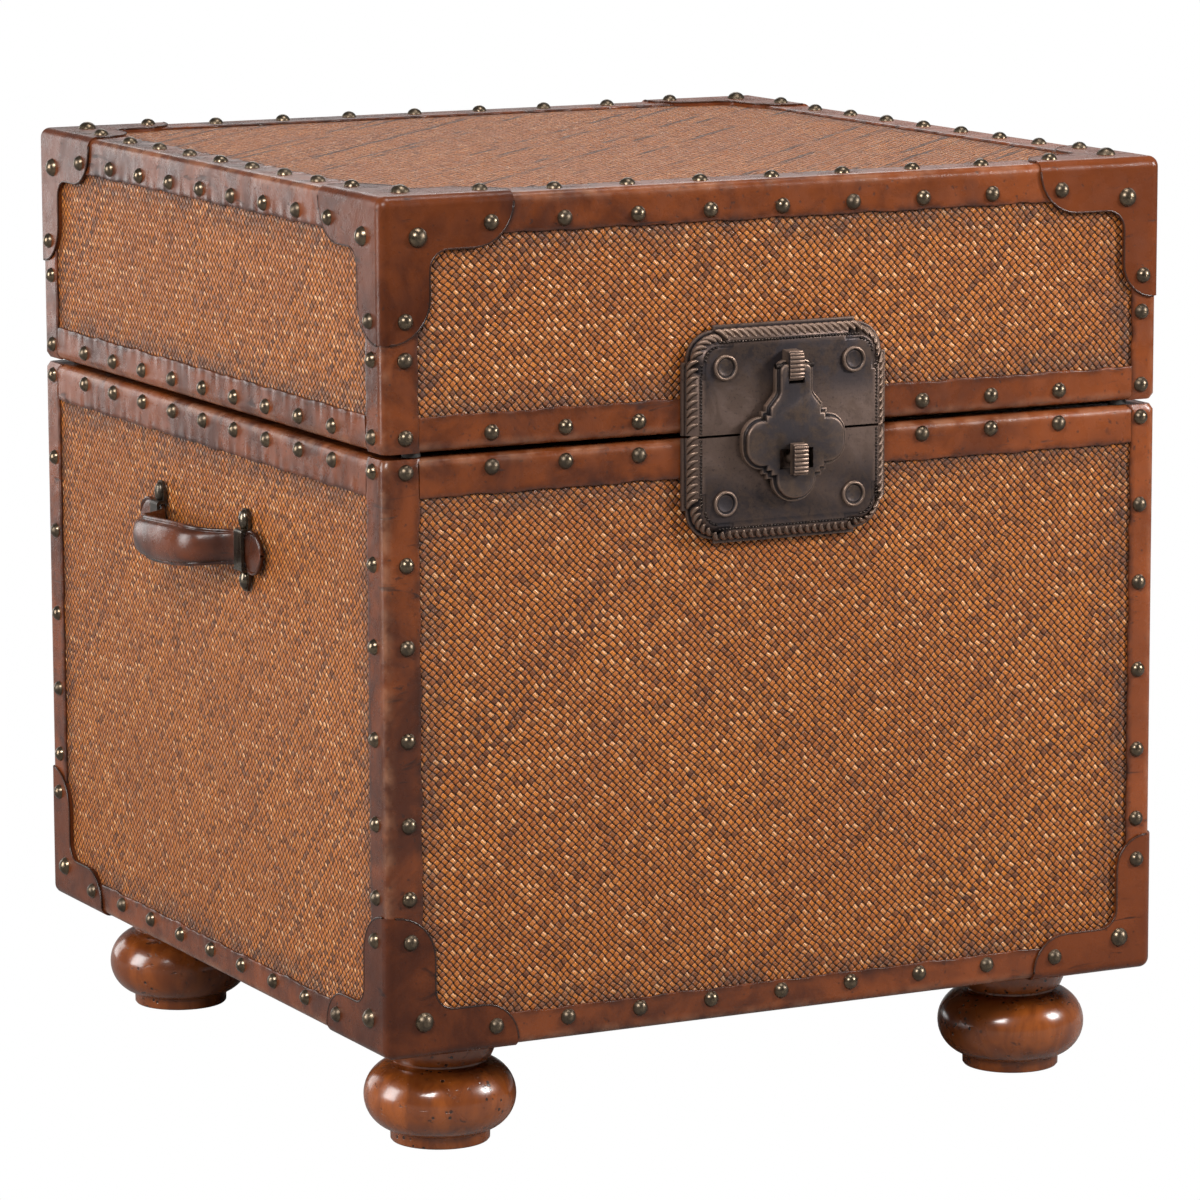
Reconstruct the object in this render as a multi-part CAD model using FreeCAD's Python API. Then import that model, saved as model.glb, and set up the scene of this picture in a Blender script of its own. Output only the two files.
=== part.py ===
import FreeCAD, Part
import math
import os
from FreeCAD import Placement, Rotation, Vector

# A square trunk: two boxes of wooden panels, covered with woven sheets, edged with nailed leather
# strips and corner patches, hinged at the back, latched in front, carried on four turned feet.
# Lengths are millimetres, +Z is up, the latch faces -Y and the handles face -X and +X.

# Boxes, measured over the leather strips
box_width = 559.0
box_depth = 559.0
lid_height = 158.0
base_height = 377.5
rim_gap = 3.5
wall_thickness = 15.0
floor_thickness = 12.0
top_thickness = 12.0
panel_edge_radius = 2.5

# Covers, from the panel outwards
weave_thickness = 1.2
leather_thickness = 1.8
patch_thickness = 1.4
weave_margin = 12.0

# Leather strips: their widths on the faces that they share
lid_top_strip = 25.0
lid_top_flange = 30.0
lid_rim_strip = 22.5
base_rim_strip = 25.0
base_bottom_strip = 21.0
base_bottom_flange = 20.0
upright_left_strip = 25.0
upright_right_strip = 19.0

# Corner patches
patch_length = 90.0
patch_overlap = 7.5
patch_inner_radius = 13.0
patch_end_share = 0.85

# Domed nails
nail_radius = 5.2
nail_height = 4.0
corner_nail_radius = 6.35
corner_nail_height = 4.6
nail_shank_radius = 1.0
nail_shank_length = 9.0
nail_tip_length = 2.5
nail_pitch = 51.25
row_end_margin = 60.0
nails_behind_latch = 3
top_row_share = 0.5
top_corner_inset = 25.0
lid_row_share = 0.7
lid_corner_drop = 24.5
lid_rim_row_share = 0.44
lid_patch_nail_share = 0.844
lid_upright_row_shares = [0.22]
base_rim_row_share = 0.32
base_upright_row_shares = [0.844, 0.647, 0.424, 0.22, 0.042]
base_patch_nail_share = 0.82
base_row_share = 0.667
base_corner_rise = 22.0
corner_nail_inset = 24.5
upright_row_share = 0.625

# Turned feet and what holds them
foot_height = 73.6
foot_inset = 67.0
collar_top_radius = 38.5
collar_low_radius = 33.0
collar_height = 19.0
groove_radius = 30.0
groove_height = 3.0
bun_radius = 49.0
bun_rim_radius = 34.0
bun_height = 43.0
foot_base_radius = 32.0
bolt_radius = 4.0
bolt_depth = 36.0
tee_nut_radius = 5.5
tee_nut_flange_radius = 9.5
tee_nut_flange = 1.5

# Latch plates: a dished plate with a sloping border, cut in two at the rim
plate_width = 147.0
plate_height = 139.0
plate_split = 1.6
plate_corner_inset = 22.5
plate_corner_radius = 19.5
plate_lip = 2.5
plate_lip_width = 2.5
plate_border = 9.0
plate_rise = 9.5
plate_sheet = 2.0
rivet_spacing_x = 92.5
rivet_spacing_z = 86.5
rivet_ring_radius = 8.4
rivet_ring_height = 2.0
rivet_cup_radius = 4.6
rivet_cup_depth = 1.4
rivet_shank_radius = 2.0
rivet_shank_length = 22.0
rivet_round_share = 0.85

# Hasp, its knuckle and its pin
hasp_pin_rise = 42.7
hasp_gap = 2.5
hasp_thickness = 7.0
hasp_neck_half = 13.5
hasp_neck_length = 17.0
hasp_slope_height = 8.0
hasp_shoulder_half = 20.5
hasp_step = 3.2
hasp_wing_half = 37.5
hasp_wing_height = 33.6
hasp_waist_half = 23.0
hasp_tongue_half = 16.0
hasp_tongue_length = 15.6
hasp_corner_radius = 6.0
hasp_pin_radius = 1.7
pin_clearance = 0.05
knuckle_width = 10.4
knuckle_height = 19.4
knuckle_reach = 11.0
knuckle_corner = 4.0
knuckle_ribs = 9
rib_share = 0.55
rib_depth = 0.5
fork_clearance = 0.5
fork_depth = 11.2

# Turn knob that holds the hasp down
knob_drop = 59.0
knob_width = 10.3
knob_height = 20.5
knob_thickness = 6.4
knob_corner = 2.5
knob_lift = 0.8
knob_shaft_radius = 4.2
knob_washer_radius = 7.0
knob_washer_thickness = 1.6
knob_washer_gap = 0.3
slot_end_clearance = 1.75
slot_side_clearance = 1.35
slot_corner = 1.5

# Strap handles
handle_drop = 84.0
loop_spacing = 140.0
strap_width = 23.0
strap_thickness = 4.0
strap_gap = 0.5
grip_reach = 38.0
grip_thickness = 12.0
grip_half = 46.0
grip_foot_half = 59.0
grip_edge_radius = 3.5
grip_inner_share = 0.85
strap_bend_radius = 9.0
grip_bend_radius = 15.0
tail_radius = 14.5
tail_offset = 15.0
loop_width = 12.0
loop_sheet = 2.0
loop_clearance = 0.6
loop_bend_radius = 2.5
ear_length = 15.0
ear_tip_half = 3.0
ear_shoulder_share = 0.55
ear_tip_round_share = 0.55
ear_screw_place = 7.5
ear_screw_radius = 3.6
ear_screw_height = 2.6
ear_screw_shank_radius = 1.5
ear_screw_length = 12.0

# Stop hinges at the back
hinge_pitches = 3
hinge_length = 76.0
hinge_knuckles = 5
hinge_knuckle_gap = 0.3
hinge_barrel_radius = 4.0
hinge_standoff = 0.3
hinge_pin_radius = 1.6
hinge_leaf = 1.6
hinge_leaf_depth = 17.0
hinge_turn_gap = 0.35
hinge_stop_reach = 9.0
hinge_stop_angle = 50.0
hinge_stop_spread = 20.0
hinge_stop_clearance_angle = 0.5
hinge_screw_count = 3
hinge_screw_radius = 1.4
hinge_screw_head_radius = 3.0
hinge_screw_length = 13.0
hinge_screw_inset = 7.0

# Bumpers under the lid's rim
bumper_radius = 6.0
bumper_clearance = 0.5

# Cutters run past what they cut by this much, and shorter edges than the smallest aren't made
overrun = 5.0
smallest_edge = 0.001

# Places worked out from the sizes
half_width = box_width / 2
half_depth = box_depth / 2
base_bottom = foot_height
base_top = base_bottom + base_height
lid_bottom = base_top + rim_gap
lid_top = lid_bottom + lid_height
cover_thickness = leather_thickness + weave_thickness
wood_x = half_width - cover_thickness
wood_y = half_depth - cover_thickness
inner_x = wood_x - wall_thickness
inner_y = wood_y - wall_thickness
split_z = base_top + rim_gap / 2
hinge_y = half_depth + hinge_standoff + hinge_barrel_radius
hasp_back = plate_rise + hasp_gap
pin_out = hasp_back + hasp_thickness / 2
pin_z = split_z + hasp_pin_rise
knob_z = pin_z - knob_drop
knob_face = hasp_back + hasp_thickness + knob_lift + knob_thickness
handle_z = base_top - handle_drop
front_reach = knob_face
stop_reach = hinge_stop_reach * math.cos(math.radians(hinge_stop_angle))
back_reach = hinge_standoff + hinge_barrel_radius + stop_reach
centring = Vector(0, (front_reach - back_reach) / 2, 0)

RIGHT = Vector(1, 0, 0)
BACK = Vector(0, 1, 0)
UP = Vector(0, 0, 1)


def box_between(x0, x1, y0, y1, z0, z1):
    return Part.makeBox(x1 - x0, y1 - y0, z1 - z0, Vector(x0, y0, z0))


def placed(shape, origin, x_axis, y_axis):
    """The shape drawn on X and Y, turned so that those run along the given directions."""
    copy = shape.copy()
    turn = Rotation(x_axis, y_axis, x_axis.cross(y_axis), "XYZ")
    copy.Placement = Placement(origin, turn).multiply(copy.Placement)
    return copy


def rounded_wire(points, height=0):
    """A closed flat outline. Each point is (u, v) or (u, v, radius of its corner)."""
    corners = []
    count = len(points)
    for i, point in enumerate(points):
        here = Vector(point[0], point[1], height)
        before = Vector(points[i - 1][0], points[i - 1][1], height) - here
        after = Vector(points[(i + 1) % count][0], points[(i + 1) % count][1], height) - here
        radius = point[2] if len(point) > 2 else 0
        if not radius:
            corners.append((here, None, here))
            continue
        before.normalize()
        after.normalize()
        half_angle = before.getAngle(after) / 2
        reach = radius / math.tan(half_angle)
        inward = (before + after).normalize()
        middle = here + inward * (radius / math.sin(half_angle) - radius)
        corners.append((here + before * reach, middle, here + after * reach))
    edges = []
    for i, (start, middle, end) in enumerate(corners):
        if middle:
            edges.append(Part.Arc(start, middle, end).toShape())
        following = corners[(i + 1) % count][0]
        if (following - end).Length > smallest_edge:
            edges.append(Part.LineSegment(end, following).toShape())
    return Part.Wire(edges)


def prism(points, height):
    return Part.Face(rounded_wire(points)).extrude(Vector(0, 0, height))


def turned(points):
    """A solid of revolution about Z. Each point is (radius, z) or (radius, z, corner radius)."""
    face = Part.Face(rounded_wire(points))
    face.rotate(Vector(), RIGHT, 90)
    return face.revolve(Vector(), UP, 360)


def rod(radius, length, start, direction):
    return Part.makeCylinder(radius, length, start, direction)


def mirrored(shape, normal):
    return shape.mirror(Vector(), normal)


def export(name, shapes):
    solids = [solid for shape in shapes for solid in shape.Solids]
    moved = Part.makeCompound(solids)
    moved.translate(centring)
    moved.exportStep(f"parts/{name}.step")


# Boxes, covers and strips


def layer_block(offset, bottom, top):
    """One box as a rounded block, grown by offset from its leather surface."""
    x = half_width + offset
    y = half_depth + offset
    block = box_between(-x, x, -y, y, bottom - offset, top + offset)
    return block.makeFillet(panel_edge_radius + cover_thickness + offset, block.Edges)


def panels_of(bottom, top, plate_low, plate_high):
    """The end plate and the four walls of one box. The walls fill the height that the plate leaves."""
    core = layer_block(-cover_thickness, bottom, top)
    at_top = plate_high > (bottom + top) / 2
    low = bottom if at_top else plate_high
    high = plate_low if at_top else top
    limits = {
        "plate": (-half_width, half_width, -half_depth, half_depth, plate_low, plate_high),
        "front": (-half_width, half_width, -half_depth, -inner_y, low, high),
        "back": (-half_width, half_width, inner_y, half_depth, low, high),
        "left": (-half_width, -inner_x, -inner_y, inner_y, low, high),
        "right": (inner_x, half_width, -inner_y, inner_y, low, high),
    }
    return {name: core.common(box_between(*limit)) for name, limit in limits.items()}


def weaves_of(bottom, top):
    """The four woven side sheets of one box."""
    x = half_width - weave_margin
    y = half_depth - weave_margin
    low = bottom + weave_margin
    high = top - weave_margin
    outer_x = wood_x + weave_thickness
    outer_y = wood_y + weave_thickness
    return {
        "front": box_between(-x, x, -outer_y, -wood_y, low, high),
        "back": box_between(-x, x, wood_y, outer_y, low, high),
        "left": box_between(-outer_x, -wood_x, -y, y, low, high),
        "right": box_between(wood_x, outer_x, -y, y, low, high),
    }


def strips_of(bottom, top, end_strip, end_flange, rim_strip, end_at_top, weaves):
    """The strips of one box: around its closed end, up its corners and around its rim."""
    shell = layer_block(0, bottom, top).cut(layer_block(-cover_thickness, bottom, top))
    end_low = top - end_strip if end_at_top else bottom
    end_high = top if end_at_top else bottom + end_strip
    rim_low = bottom if end_at_top else top - rim_strip
    rim_high = bottom + rim_strip if end_at_top else top
    up_low = bottom if end_at_top else end_high
    up_high = end_low if end_at_top else top
    left = -half_width + upright_left_strip
    right = half_width - upright_right_strip
    front_side = -half_depth + upright_left_strip
    back_side = half_depth - upright_left_strip
    flange_x = half_width - end_flange
    flange_y = half_depth - end_flange
    regions = {
        "end": [
            (-half_width, half_width, -half_depth, -flange_y, end_low, end_high),
            (-half_width, half_width, flange_y, half_depth, end_low, end_high),
            (-half_width, -flange_x, -flange_y, flange_y, end_low, end_high),
            (flange_x, half_width, -flange_y, flange_y, end_low, end_high),
        ],
        "upright": [
            (-half_width, left, -half_depth, front_side, up_low, up_high),
            (right, half_width, -half_depth, front_side, up_low, up_high),
            (-half_width, left, back_side, half_depth, up_low, up_high),
            (right, half_width, back_side, half_depth, up_low, up_high),
        ],
        "rim": [
            (left, right, -half_depth, -inner_y, rim_low, rim_high),
            (left, right, inner_y, half_depth, rim_low, rim_high),
            (-half_width, -inner_x, front_side, back_side, rim_low, rim_high),
            (inner_x, half_width, front_side, back_side, rim_low, rim_high),
        ],
    }
    hollow = box_between(-inner_x, inner_x, -inner_y, inner_y, bottom - overrun, top + overrun)
    end_hollow = box_between(-flange_x, flange_x, -flange_y, flange_y, bottom - overrun, top + overrun)
    strips = {}
    for kind, boxes in regions.items():
        inside = end_hollow if kind == "end" else hollow
        strips[kind] = [shell.common(box_between(*limits)).cut([inside] + weaves) for limits in boxes]
    return strips


def patch_outline(along_band, across_band):
    """A patch on one face, from the box's corner: two legs with rounded ends and a hollow inner corner."""
    return [
        (-overrun, -overrun),
        (patch_length, -overrun),
        (patch_length, along_band, along_band * patch_end_share),
        (across_band, along_band, patch_inner_radius),
        (across_band, patch_length, across_band * patch_end_share),
        (-overrun, patch_length),
    ]


def patches_of(bottom, top, end_strip, end_flange, end_at_top, strips, weaves):
    """Four corner patches on the closed end of one box."""
    shell = layer_block(patch_thickness, bottom, top).cut(layer_block(-leather_thickness, bottom, top))
    end_z = top if end_at_top else bottom
    inward = Vector(0, 0, -1 if end_at_top else 1)
    depth = overrun + panel_edge_radius + cover_thickness
    end_band = end_strip + patch_overlap
    flat_band = end_flange + patch_overlap if end_at_top else end_flange
    patches = []
    for x_sign in (-1, 1):
        upright = upright_left_strip if x_sign < 0 else upright_right_strip
        for y_sign in (-1, 1):
            corner = Vector(x_sign * half_width, y_sign * half_depth, end_z)
            to_x = RIGHT * -x_sign
            to_y = BACK * -y_sign
            on_front = prism(patch_outline(end_band, upright + patch_overlap), 2 * depth)
            on_side = prism(patch_outline(end_band, upright_left_strip + patch_overlap), 2 * depth)
            on_end = prism(patch_outline(flat_band, flat_band), 2 * depth)
            front = placed(on_front, corner, to_x, inward)
            side = placed(on_side, corner, to_y, inward)
            end = placed(on_end, corner, to_x, to_y)
            front.translate(to_x.cross(inward) * -depth)
            side.translate(to_y.cross(inward) * -depth)
            end.translate(to_x.cross(to_y) * -depth)
            outline = front.fuse([side, end])
            patches.append(shell.common(outline).cut(strips + weaves))
    return patches


# Nails


def nail(radius, height):
    """A domed nail on the plane z = 0, its shank pointing down."""
    dome = (radius ** 2 + height ** 2) / (2 * height)
    middle_angle = math.asin(radius / dome) / 2
    if height > radius:
        middle_angle = (math.pi - math.asin(radius / dome)) / 2
    top = Vector(0, 0, height)
    middle = Vector(dome * math.sin(middle_angle), 0, height - dome + dome * math.cos(middle_angle))
    rim = Vector(radius, 0, 0)
    neck = Vector(nail_shank_radius, 0, 0)
    taper = Vector(nail_shank_radius, 0, nail_tip_length - nail_shank_length)
    tip = Vector(0, 0, -nail_shank_length)
    edges = [Part.Arc(top, middle, rim).toShape()]
    for start, end in ((rim, neck), (neck, taper), (taper, tip), (tip, top)):
        edges.append(Part.LineSegment(start, end).toShape())
    return Part.Face(Part.Wire(edges)).revolve(Vector(), UP, 360)


def nail_at(model, face, u, z, lift):
    """A nail on a side face, u along it as seen from outside, lifted off the leather by lift."""
    normal, along, distance = face
    origin = normal * (distance + lift) + along * u + UP * z
    return placed(model, origin, along, UP)


FACES = {
    "front": (Vector(0, -1, 0), Vector(1, 0, 0), half_depth),
    "back": (Vector(0, 1, 0), Vector(-1, 0, 0), half_depth),
    "left": (Vector(-1, 0, 0), Vector(0, -1, 0), half_width),
    "right": (Vector(1, 0, 0), Vector(0, 1, 0), half_width),
}
small_nail = nail(nail_radius, nail_height)
corner_nail = nail(corner_nail_radius, corner_nail_height)


def row_places(half_length):
    """A row's places along a face, counted out both ways from its middle."""
    count = math.floor((half_length - row_end_margin) / nail_pitch)
    return [i * nail_pitch for i in range(-count, count + 1)]


def on_patch(u, half_length):
    return patch_thickness if half_length - abs(u) < patch_length - nail_radius else 0


def rim_places(name, half_length):
    """Where a rim row has nails: none behind the latch plate or on the hinges."""
    places = row_places(half_length)
    if name == "front":
        return [u for u in places if abs(u) > nail_pitch * nails_behind_latch / 2]
    if name == "back":
        return [u for u in places if abs(abs(u) - nail_pitch * hinge_pitches) > nail_pitch / 2]
    return places


def upright_insets(name):
    """How far the upright rows stand from the face's left and right edges, seen from outside."""
    wide = upright_left_strip * upright_row_share
    narrow = upright_right_strip * upright_row_share
    near = narrow if name == "back" else wide
    far = narrow if name == "front" else wide
    return near, far


def lid_nails():
    small, large = [], []
    row_z = lid_top - lid_top_strip * lid_row_share
    rim_z = lid_bottom + lid_rim_strip * lid_rim_row_share
    patch_z = lid_top - patch_length * lid_patch_nail_share
    for name, face in FACES.items():
        half_length = half_width if name in ("front", "back") else half_depth
        for u in row_places(half_length):
            small.append(nail_at(small_nail, face, u, row_z, on_patch(u, half_length)))
        for u in rim_places(name, half_length):
            small.append(nail_at(small_nail, face, u, rim_z, 0))
        for sign, inset in zip((-1, 1), upright_insets(name)):
            u = sign * (half_length - inset)
            small.append(nail_at(small_nail, face, u, rim_z, 0))
            small.append(nail_at(small_nail, face, u, patch_z, patch_thickness))
            for share in lid_upright_row_shares:
                z = lid_top - patch_length - share * (lid_height - patch_length - lid_rim_strip)
                small.append(nail_at(small_nail, face, u, z, 0))
            corner_u = sign * (half_length - corner_nail_inset)
            large.append(nail_at(corner_nail, face, corner_u, lid_top - lid_corner_drop, patch_thickness))
    top_x = half_width - lid_top_flange * top_row_share
    top_y = half_depth - lid_top_flange * top_row_share
    for sign in (-1, 1):
        for u in row_places(half_width):
            place = Vector(u, sign * top_y, lid_top + on_patch(u, half_width))
            small.append(placed(small_nail, place, RIGHT, BACK))
        for u in row_places(half_depth):
            place = Vector(sign * top_x, u, lid_top + on_patch(u, half_depth))
            small.append(placed(small_nail, place, RIGHT, BACK))
        for y_sign in (-1, 1):
            x = sign * (half_width - top_corner_inset)
            y = y_sign * (half_depth - top_corner_inset)
            large.append(placed(corner_nail, Vector(x, y, lid_top + patch_thickness), RIGHT, BACK))
    return small, large


def base_nails():
    small, large = [], []
    row_z = base_bottom + base_bottom_strip * base_row_share
    rim_z = base_top - base_rim_strip * base_rim_row_share
    patch_z = base_bottom + patch_length * base_patch_nail_share
    corner_z = base_bottom + base_corner_rise
    for name, face in FACES.items():
        half_length = half_width if name in ("front", "back") else half_depth
        for u in row_places(half_length):
            small.append(nail_at(small_nail, face, u, row_z, on_patch(u, half_length)))
        for u in rim_places(name, half_length):
            small.append(nail_at(small_nail, face, u, rim_z, 0))
        for sign, inset in zip((-1, 1), upright_insets(name)):
            u = sign * (half_length - inset)
            small.append(nail_at(small_nail, face, u, rim_z, 0))
            small.append(nail_at(small_nail, face, u, patch_z, patch_thickness))
            for share in base_upright_row_shares:
                z = base_bottom + patch_length + share * (base_height - patch_length - base_rim_strip)
                small.append(nail_at(small_nail, face, u, z, 0))
            corner_u = sign * (half_length - corner_nail_inset)
            large.append(nail_at(corner_nail, face, corner_u, corner_z, patch_thickness))
    return small, large


# Feet


def foot():
    """A turned bun foot standing on z = 0, its bolt screwed into its top."""
    top = base_bottom + cover_thickness
    collar_low = base_bottom - collar_height
    bun_top = collar_low - groove_height
    bun_low = bun_top - bun_height
    bun_middle = (bun_top + bun_low) / 2
    rim = Vector(bun_rim_radius, 0, bun_top)
    points = [
        Vector(0, 0, top),
        Vector(collar_top_radius, 0, top),
        Vector(collar_top_radius, 0, base_bottom),
        Vector(collar_low_radius, 0, collar_low),
        Vector(groove_radius, 0, collar_low),
        Vector(groove_radius, 0, bun_top),
        rim,
    ]
    edges = [Part.LineSegment(a, b).toShape() for a, b in zip(points, points[1:])]
    low_rim = Vector(bun_rim_radius, 0, bun_low)
    edges.append(Part.Arc(rim, Vector(bun_radius, 0, bun_middle), low_rim).toShape())
    pad = Vector(foot_base_radius, 0, 0)
    ending = [low_rim, Vector(foot_base_radius, 0, bun_low), pad, Vector(), points[0]]
    edges += [Part.LineSegment(a, b).toShape() for a, b in zip(ending, ending[1:])]
    solid = Part.Face(Part.Wire(edges)).revolve(Vector(), UP, 360)
    bore = rod(bolt_radius, bolt_depth + overrun, Vector(0, 0, top - bolt_depth), UP)
    return solid.cut(bore)


def foot_places():
    x = half_width - foot_inset
    y = half_depth - foot_inset
    return {
        "front_left": Vector(-x, -y, 0),
        "front_right": Vector(x, -y, 0),
        "back_left": Vector(-x, y, 0),
        "back_right": Vector(x, y, 0),
    }


def foot_bolt():
    """The bolt from the foot's bore up through the floor."""
    low = base_bottom + cover_thickness - bolt_depth
    return rod(bolt_radius, bolt_depth + floor_thickness, Vector(0, 0, low), UP)


def tee_nut():
    """A flanged sleeve pressed into the floor from inside the box."""
    low = base_bottom + cover_thickness
    sleeve = rod(tee_nut_radius, floor_thickness, Vector(0, 0, low), UP)
    flange = rod(tee_nut_flange_radius, tee_nut_flange, Vector(0, 0, low + floor_thickness), UP)
    hole = rod(bolt_radius, floor_thickness + 2 * overrun, Vector(0, 0, low - overrun), UP)
    return sleeve.fuse(flange).cut(hole)


# Latch. Its flat shapes are drawn with u along X and v up, and stand off the leather along -Y.


def on_front(shape, out, z):
    """A shape drawn on u and v, moved to the front face: its drawing plane stands out by out."""
    return placed(shape, Vector(0, -half_depth - out, z), RIGHT, UP)


def plate_outline(inset, split_inset):
    """The upper half plate, drawn from the rim gap upwards: stepped corners with a round between them."""
    side = plate_width / 2 - inset
    top = plate_height / 2 - inset
    corner_x = plate_width / 2 - plate_corner_inset
    corner_z = plate_height / 2 - plate_corner_inset
    radius = plate_corner_radius - inset
    low = plate_split / 2 + split_inset
    half = [
        (side, low),
        (side, corner_z),
        (corner_x + radius, corner_z),
        (corner_x + radius, corner_z + radius, radius),
        (corner_x, corner_z + radius),
        (corner_x, top),
    ]
    return half + [(-point[0],) + point[1:] for point in reversed(half)]


def plate_loft(low_inset, low, high_inset, high, split_inset):
    wires = [
        rounded_wire(plate_outline(low_inset, split_inset), low),
        rounded_wire(plate_outline(high_inset, split_inset), high),
    ]
    return Part.makeLoft(wires, True, True)


def half_plate():
    """The upper half plate about the rim gap, drawn on u and v, rising along +Z from the leather."""
    lip = prism(plate_outline(0, 0), plate_lip)
    dish = plate_loft(plate_lip_width, plate_lip, plate_border, plate_rise, 0)
    hollow_low = plate_lip_width + plate_sheet
    hollow_high = plate_border + plate_sheet
    hollow = plate_loft(hollow_low, 0, hollow_high, plate_rise - plate_sheet, plate_sheet)
    return lip.fuse(dish).cut(hollow)


def rivet():
    """A ringed fixing with a sunk centre, seated on z = 0."""
    return turned([
        (0, rivet_ring_height - rivet_cup_depth),
        (rivet_cup_radius, rivet_ring_height - rivet_cup_depth),
        (rivet_cup_radius, rivet_ring_height),
        (rivet_ring_radius, rivet_ring_height, rivet_ring_height * rivet_round_share),
        (rivet_ring_radius, 0),
        (rivet_shank_radius, 0),
        (rivet_shank_radius, -rivet_shank_length),
        (0, -rivet_shank_length),
    ])


def ribs(width, height, out):
    """Grooves cut across a face that stands out by out, centred on the origin."""
    pitch = height / knuckle_ribs
    groove = pitch * (1 - rib_share)
    cutters = []
    for i in range(knuckle_ribs - 1):
        middle = (i + 1) * pitch - height / 2
        low = middle - groove / 2
        cutters.append(box_between(-width, width, low, low + groove, out - rib_depth, out + overrun))
    return cutters


def knuckle():
    """The ribbed block on the upper plate that carries the hasp's pin, drawn about the pin."""
    foot_level = plate_rise - pin_out
    face = foot_level + knuckle_reach
    half = knuckle_height / 2
    profile = prism([(foot_level, -half), (face, -half, knuckle_corner), (face, half, knuckle_corner),
                     (foot_level, half)], knuckle_width)
    block = placed(profile, Vector(knuckle_width / 2, 0, 0), UP, BACK)
    bore = rod(hasp_pin_radius + pin_clearance, knuckle_width + 2 * overrun,
               Vector(-knuckle_width / 2 - overrun, 0, 0), RIGHT)
    return block.cut([bore] + ribs(knuckle_width, knuckle_height, face))


def hasp_outline():
    """The hasp below its pin: neck, stepped shoulders, round wings, stepped waist and a round tongue."""
    step = hasp_step
    shoulder = -hasp_neck_length - hasp_slope_height
    wing_top = shoulder - 2 * step
    waist = wing_top - hasp_wing_height
    tongue_top = waist - 2 * step
    tongue = tongue_top - hasp_tongue_length
    wing_radius = min(hasp_wing_half - hasp_waist_half, hasp_wing_height / 2)
    half = [
        (hasp_neck_half, 0),
        (hasp_neck_half, -hasp_neck_length, hasp_corner_radius),
        (hasp_shoulder_half, shoulder),
        (hasp_shoulder_half, shoulder - step),
        (hasp_shoulder_half + step, shoulder - step),
        (hasp_shoulder_half + step, wing_top),
        (hasp_wing_half, wing_top, wing_radius),
        (hasp_wing_half, waist, wing_radius),
        (hasp_waist_half, waist),
        (hasp_waist_half, waist - step),
        (hasp_waist_half - step, waist - step),
        (hasp_waist_half - step, tongue_top),
        (hasp_tongue_half, tongue_top),
        (hasp_tongue_half, tongue, min(hasp_tongue_half, hasp_tongue_length)),
    ]
    return half + [(-point[0],) + point[1:] for point in reversed(half)]


def hasp():
    """The hasp about its pin, drawn on u and v, as thick along Z as its round top."""
    half = hasp_thickness / 2
    plate = prism(hasp_outline(), hasp_thickness)
    plate.translate(Vector(0, 0, -half))
    barrel = rod(half, 2 * hasp_neck_half, Vector(-hasp_neck_half, 0, 0), RIGHT)
    fork_half = knuckle_width / 2 + fork_clearance
    fork = box_between(-fork_half, fork_half, -fork_depth, overrun, -overrun, overrun)
    bore_half = hasp_neck_half + overrun
    bore = rod(hasp_pin_radius, 2 * bore_half, Vector(-bore_half, 0, 0), RIGHT)
    slot_x = knob_height / 2 + slot_end_clearance
    slot_y = knob_width / 2 + slot_side_clearance
    slot = prism([
        (-slot_x, -knob_drop - slot_y, slot_corner),
        (slot_x, -knob_drop - slot_y, slot_corner),
        (slot_x, -knob_drop + slot_y, slot_corner),
        (-slot_x, -knob_drop + slot_y, slot_corner),
    ], hasp_thickness + 2 * overrun)
    slot.translate(Vector(0, 0, -half - overrun))
    return plate.fuse(barrel).cut([fork, bore, slot])


def turn_knob():
    """The ribbed knob on its shaft, drawn about the shaft from the plate's face outwards."""
    low = hasp_back + hasp_thickness + knob_lift - plate_rise
    head = prism([
        (-knob_width / 2, -knob_height / 2, knob_corner),
        (knob_width / 2, -knob_height / 2, knob_corner),
        (knob_width / 2, knob_height / 2, knob_corner),
        (-knob_width / 2, knob_height / 2, knob_corner),
    ], knob_thickness)
    head.translate(Vector(0, 0, low))
    shaft_low = -plate_sheet - knob_washer_gap - knob_washer_thickness
    shaft = rod(knob_shaft_radius, low - shaft_low, Vector(0, 0, shaft_low), UP)
    return head.fuse(shaft).cut(ribs(knob_width, knob_height, low + knob_thickness))


def knob_washer():
    """The ring behind the plate that keeps the knob in."""
    low = -plate_sheet - knob_washer_gap - knob_washer_thickness
    ring = rod(knob_washer_radius, knob_washer_thickness, Vector(0, 0, low), UP)
    return ring.cut(rod(knob_shaft_radius, knob_washer_thickness, Vector(0, 0, low), UP))


# Strap handles, drawn on u along the strap and v off the side face


def strap_outline():
    """The strap from the side: flat tails, then up and over as a padded grip."""
    half_length = loop_spacing / 2 + tail_offset
    low = strap_gap
    high = strap_gap + strap_thickness
    inside = grip_reach - grip_thickness
    outer = [
        (half_length, low),
        (half_length, high),
        (grip_foot_half, high, strap_bend_radius),
        (grip_half, grip_reach, grip_bend_radius),
    ]
    inner_foot = grip_foot_half - strap_thickness
    inner_half = grip_half - grip_thickness * grip_inner_share
    inner = [
        (inner_half, inside, strap_bend_radius),
        (inner_foot, low, strap_bend_radius + strap_thickness),
    ]
    left_outer = [(-point[0],) + point[1:] for point in reversed(outer)]
    left_inner = [(-point[0],) + point[1:] for point in reversed(inner)]
    return outer + left_outer + left_inner + inner


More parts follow.
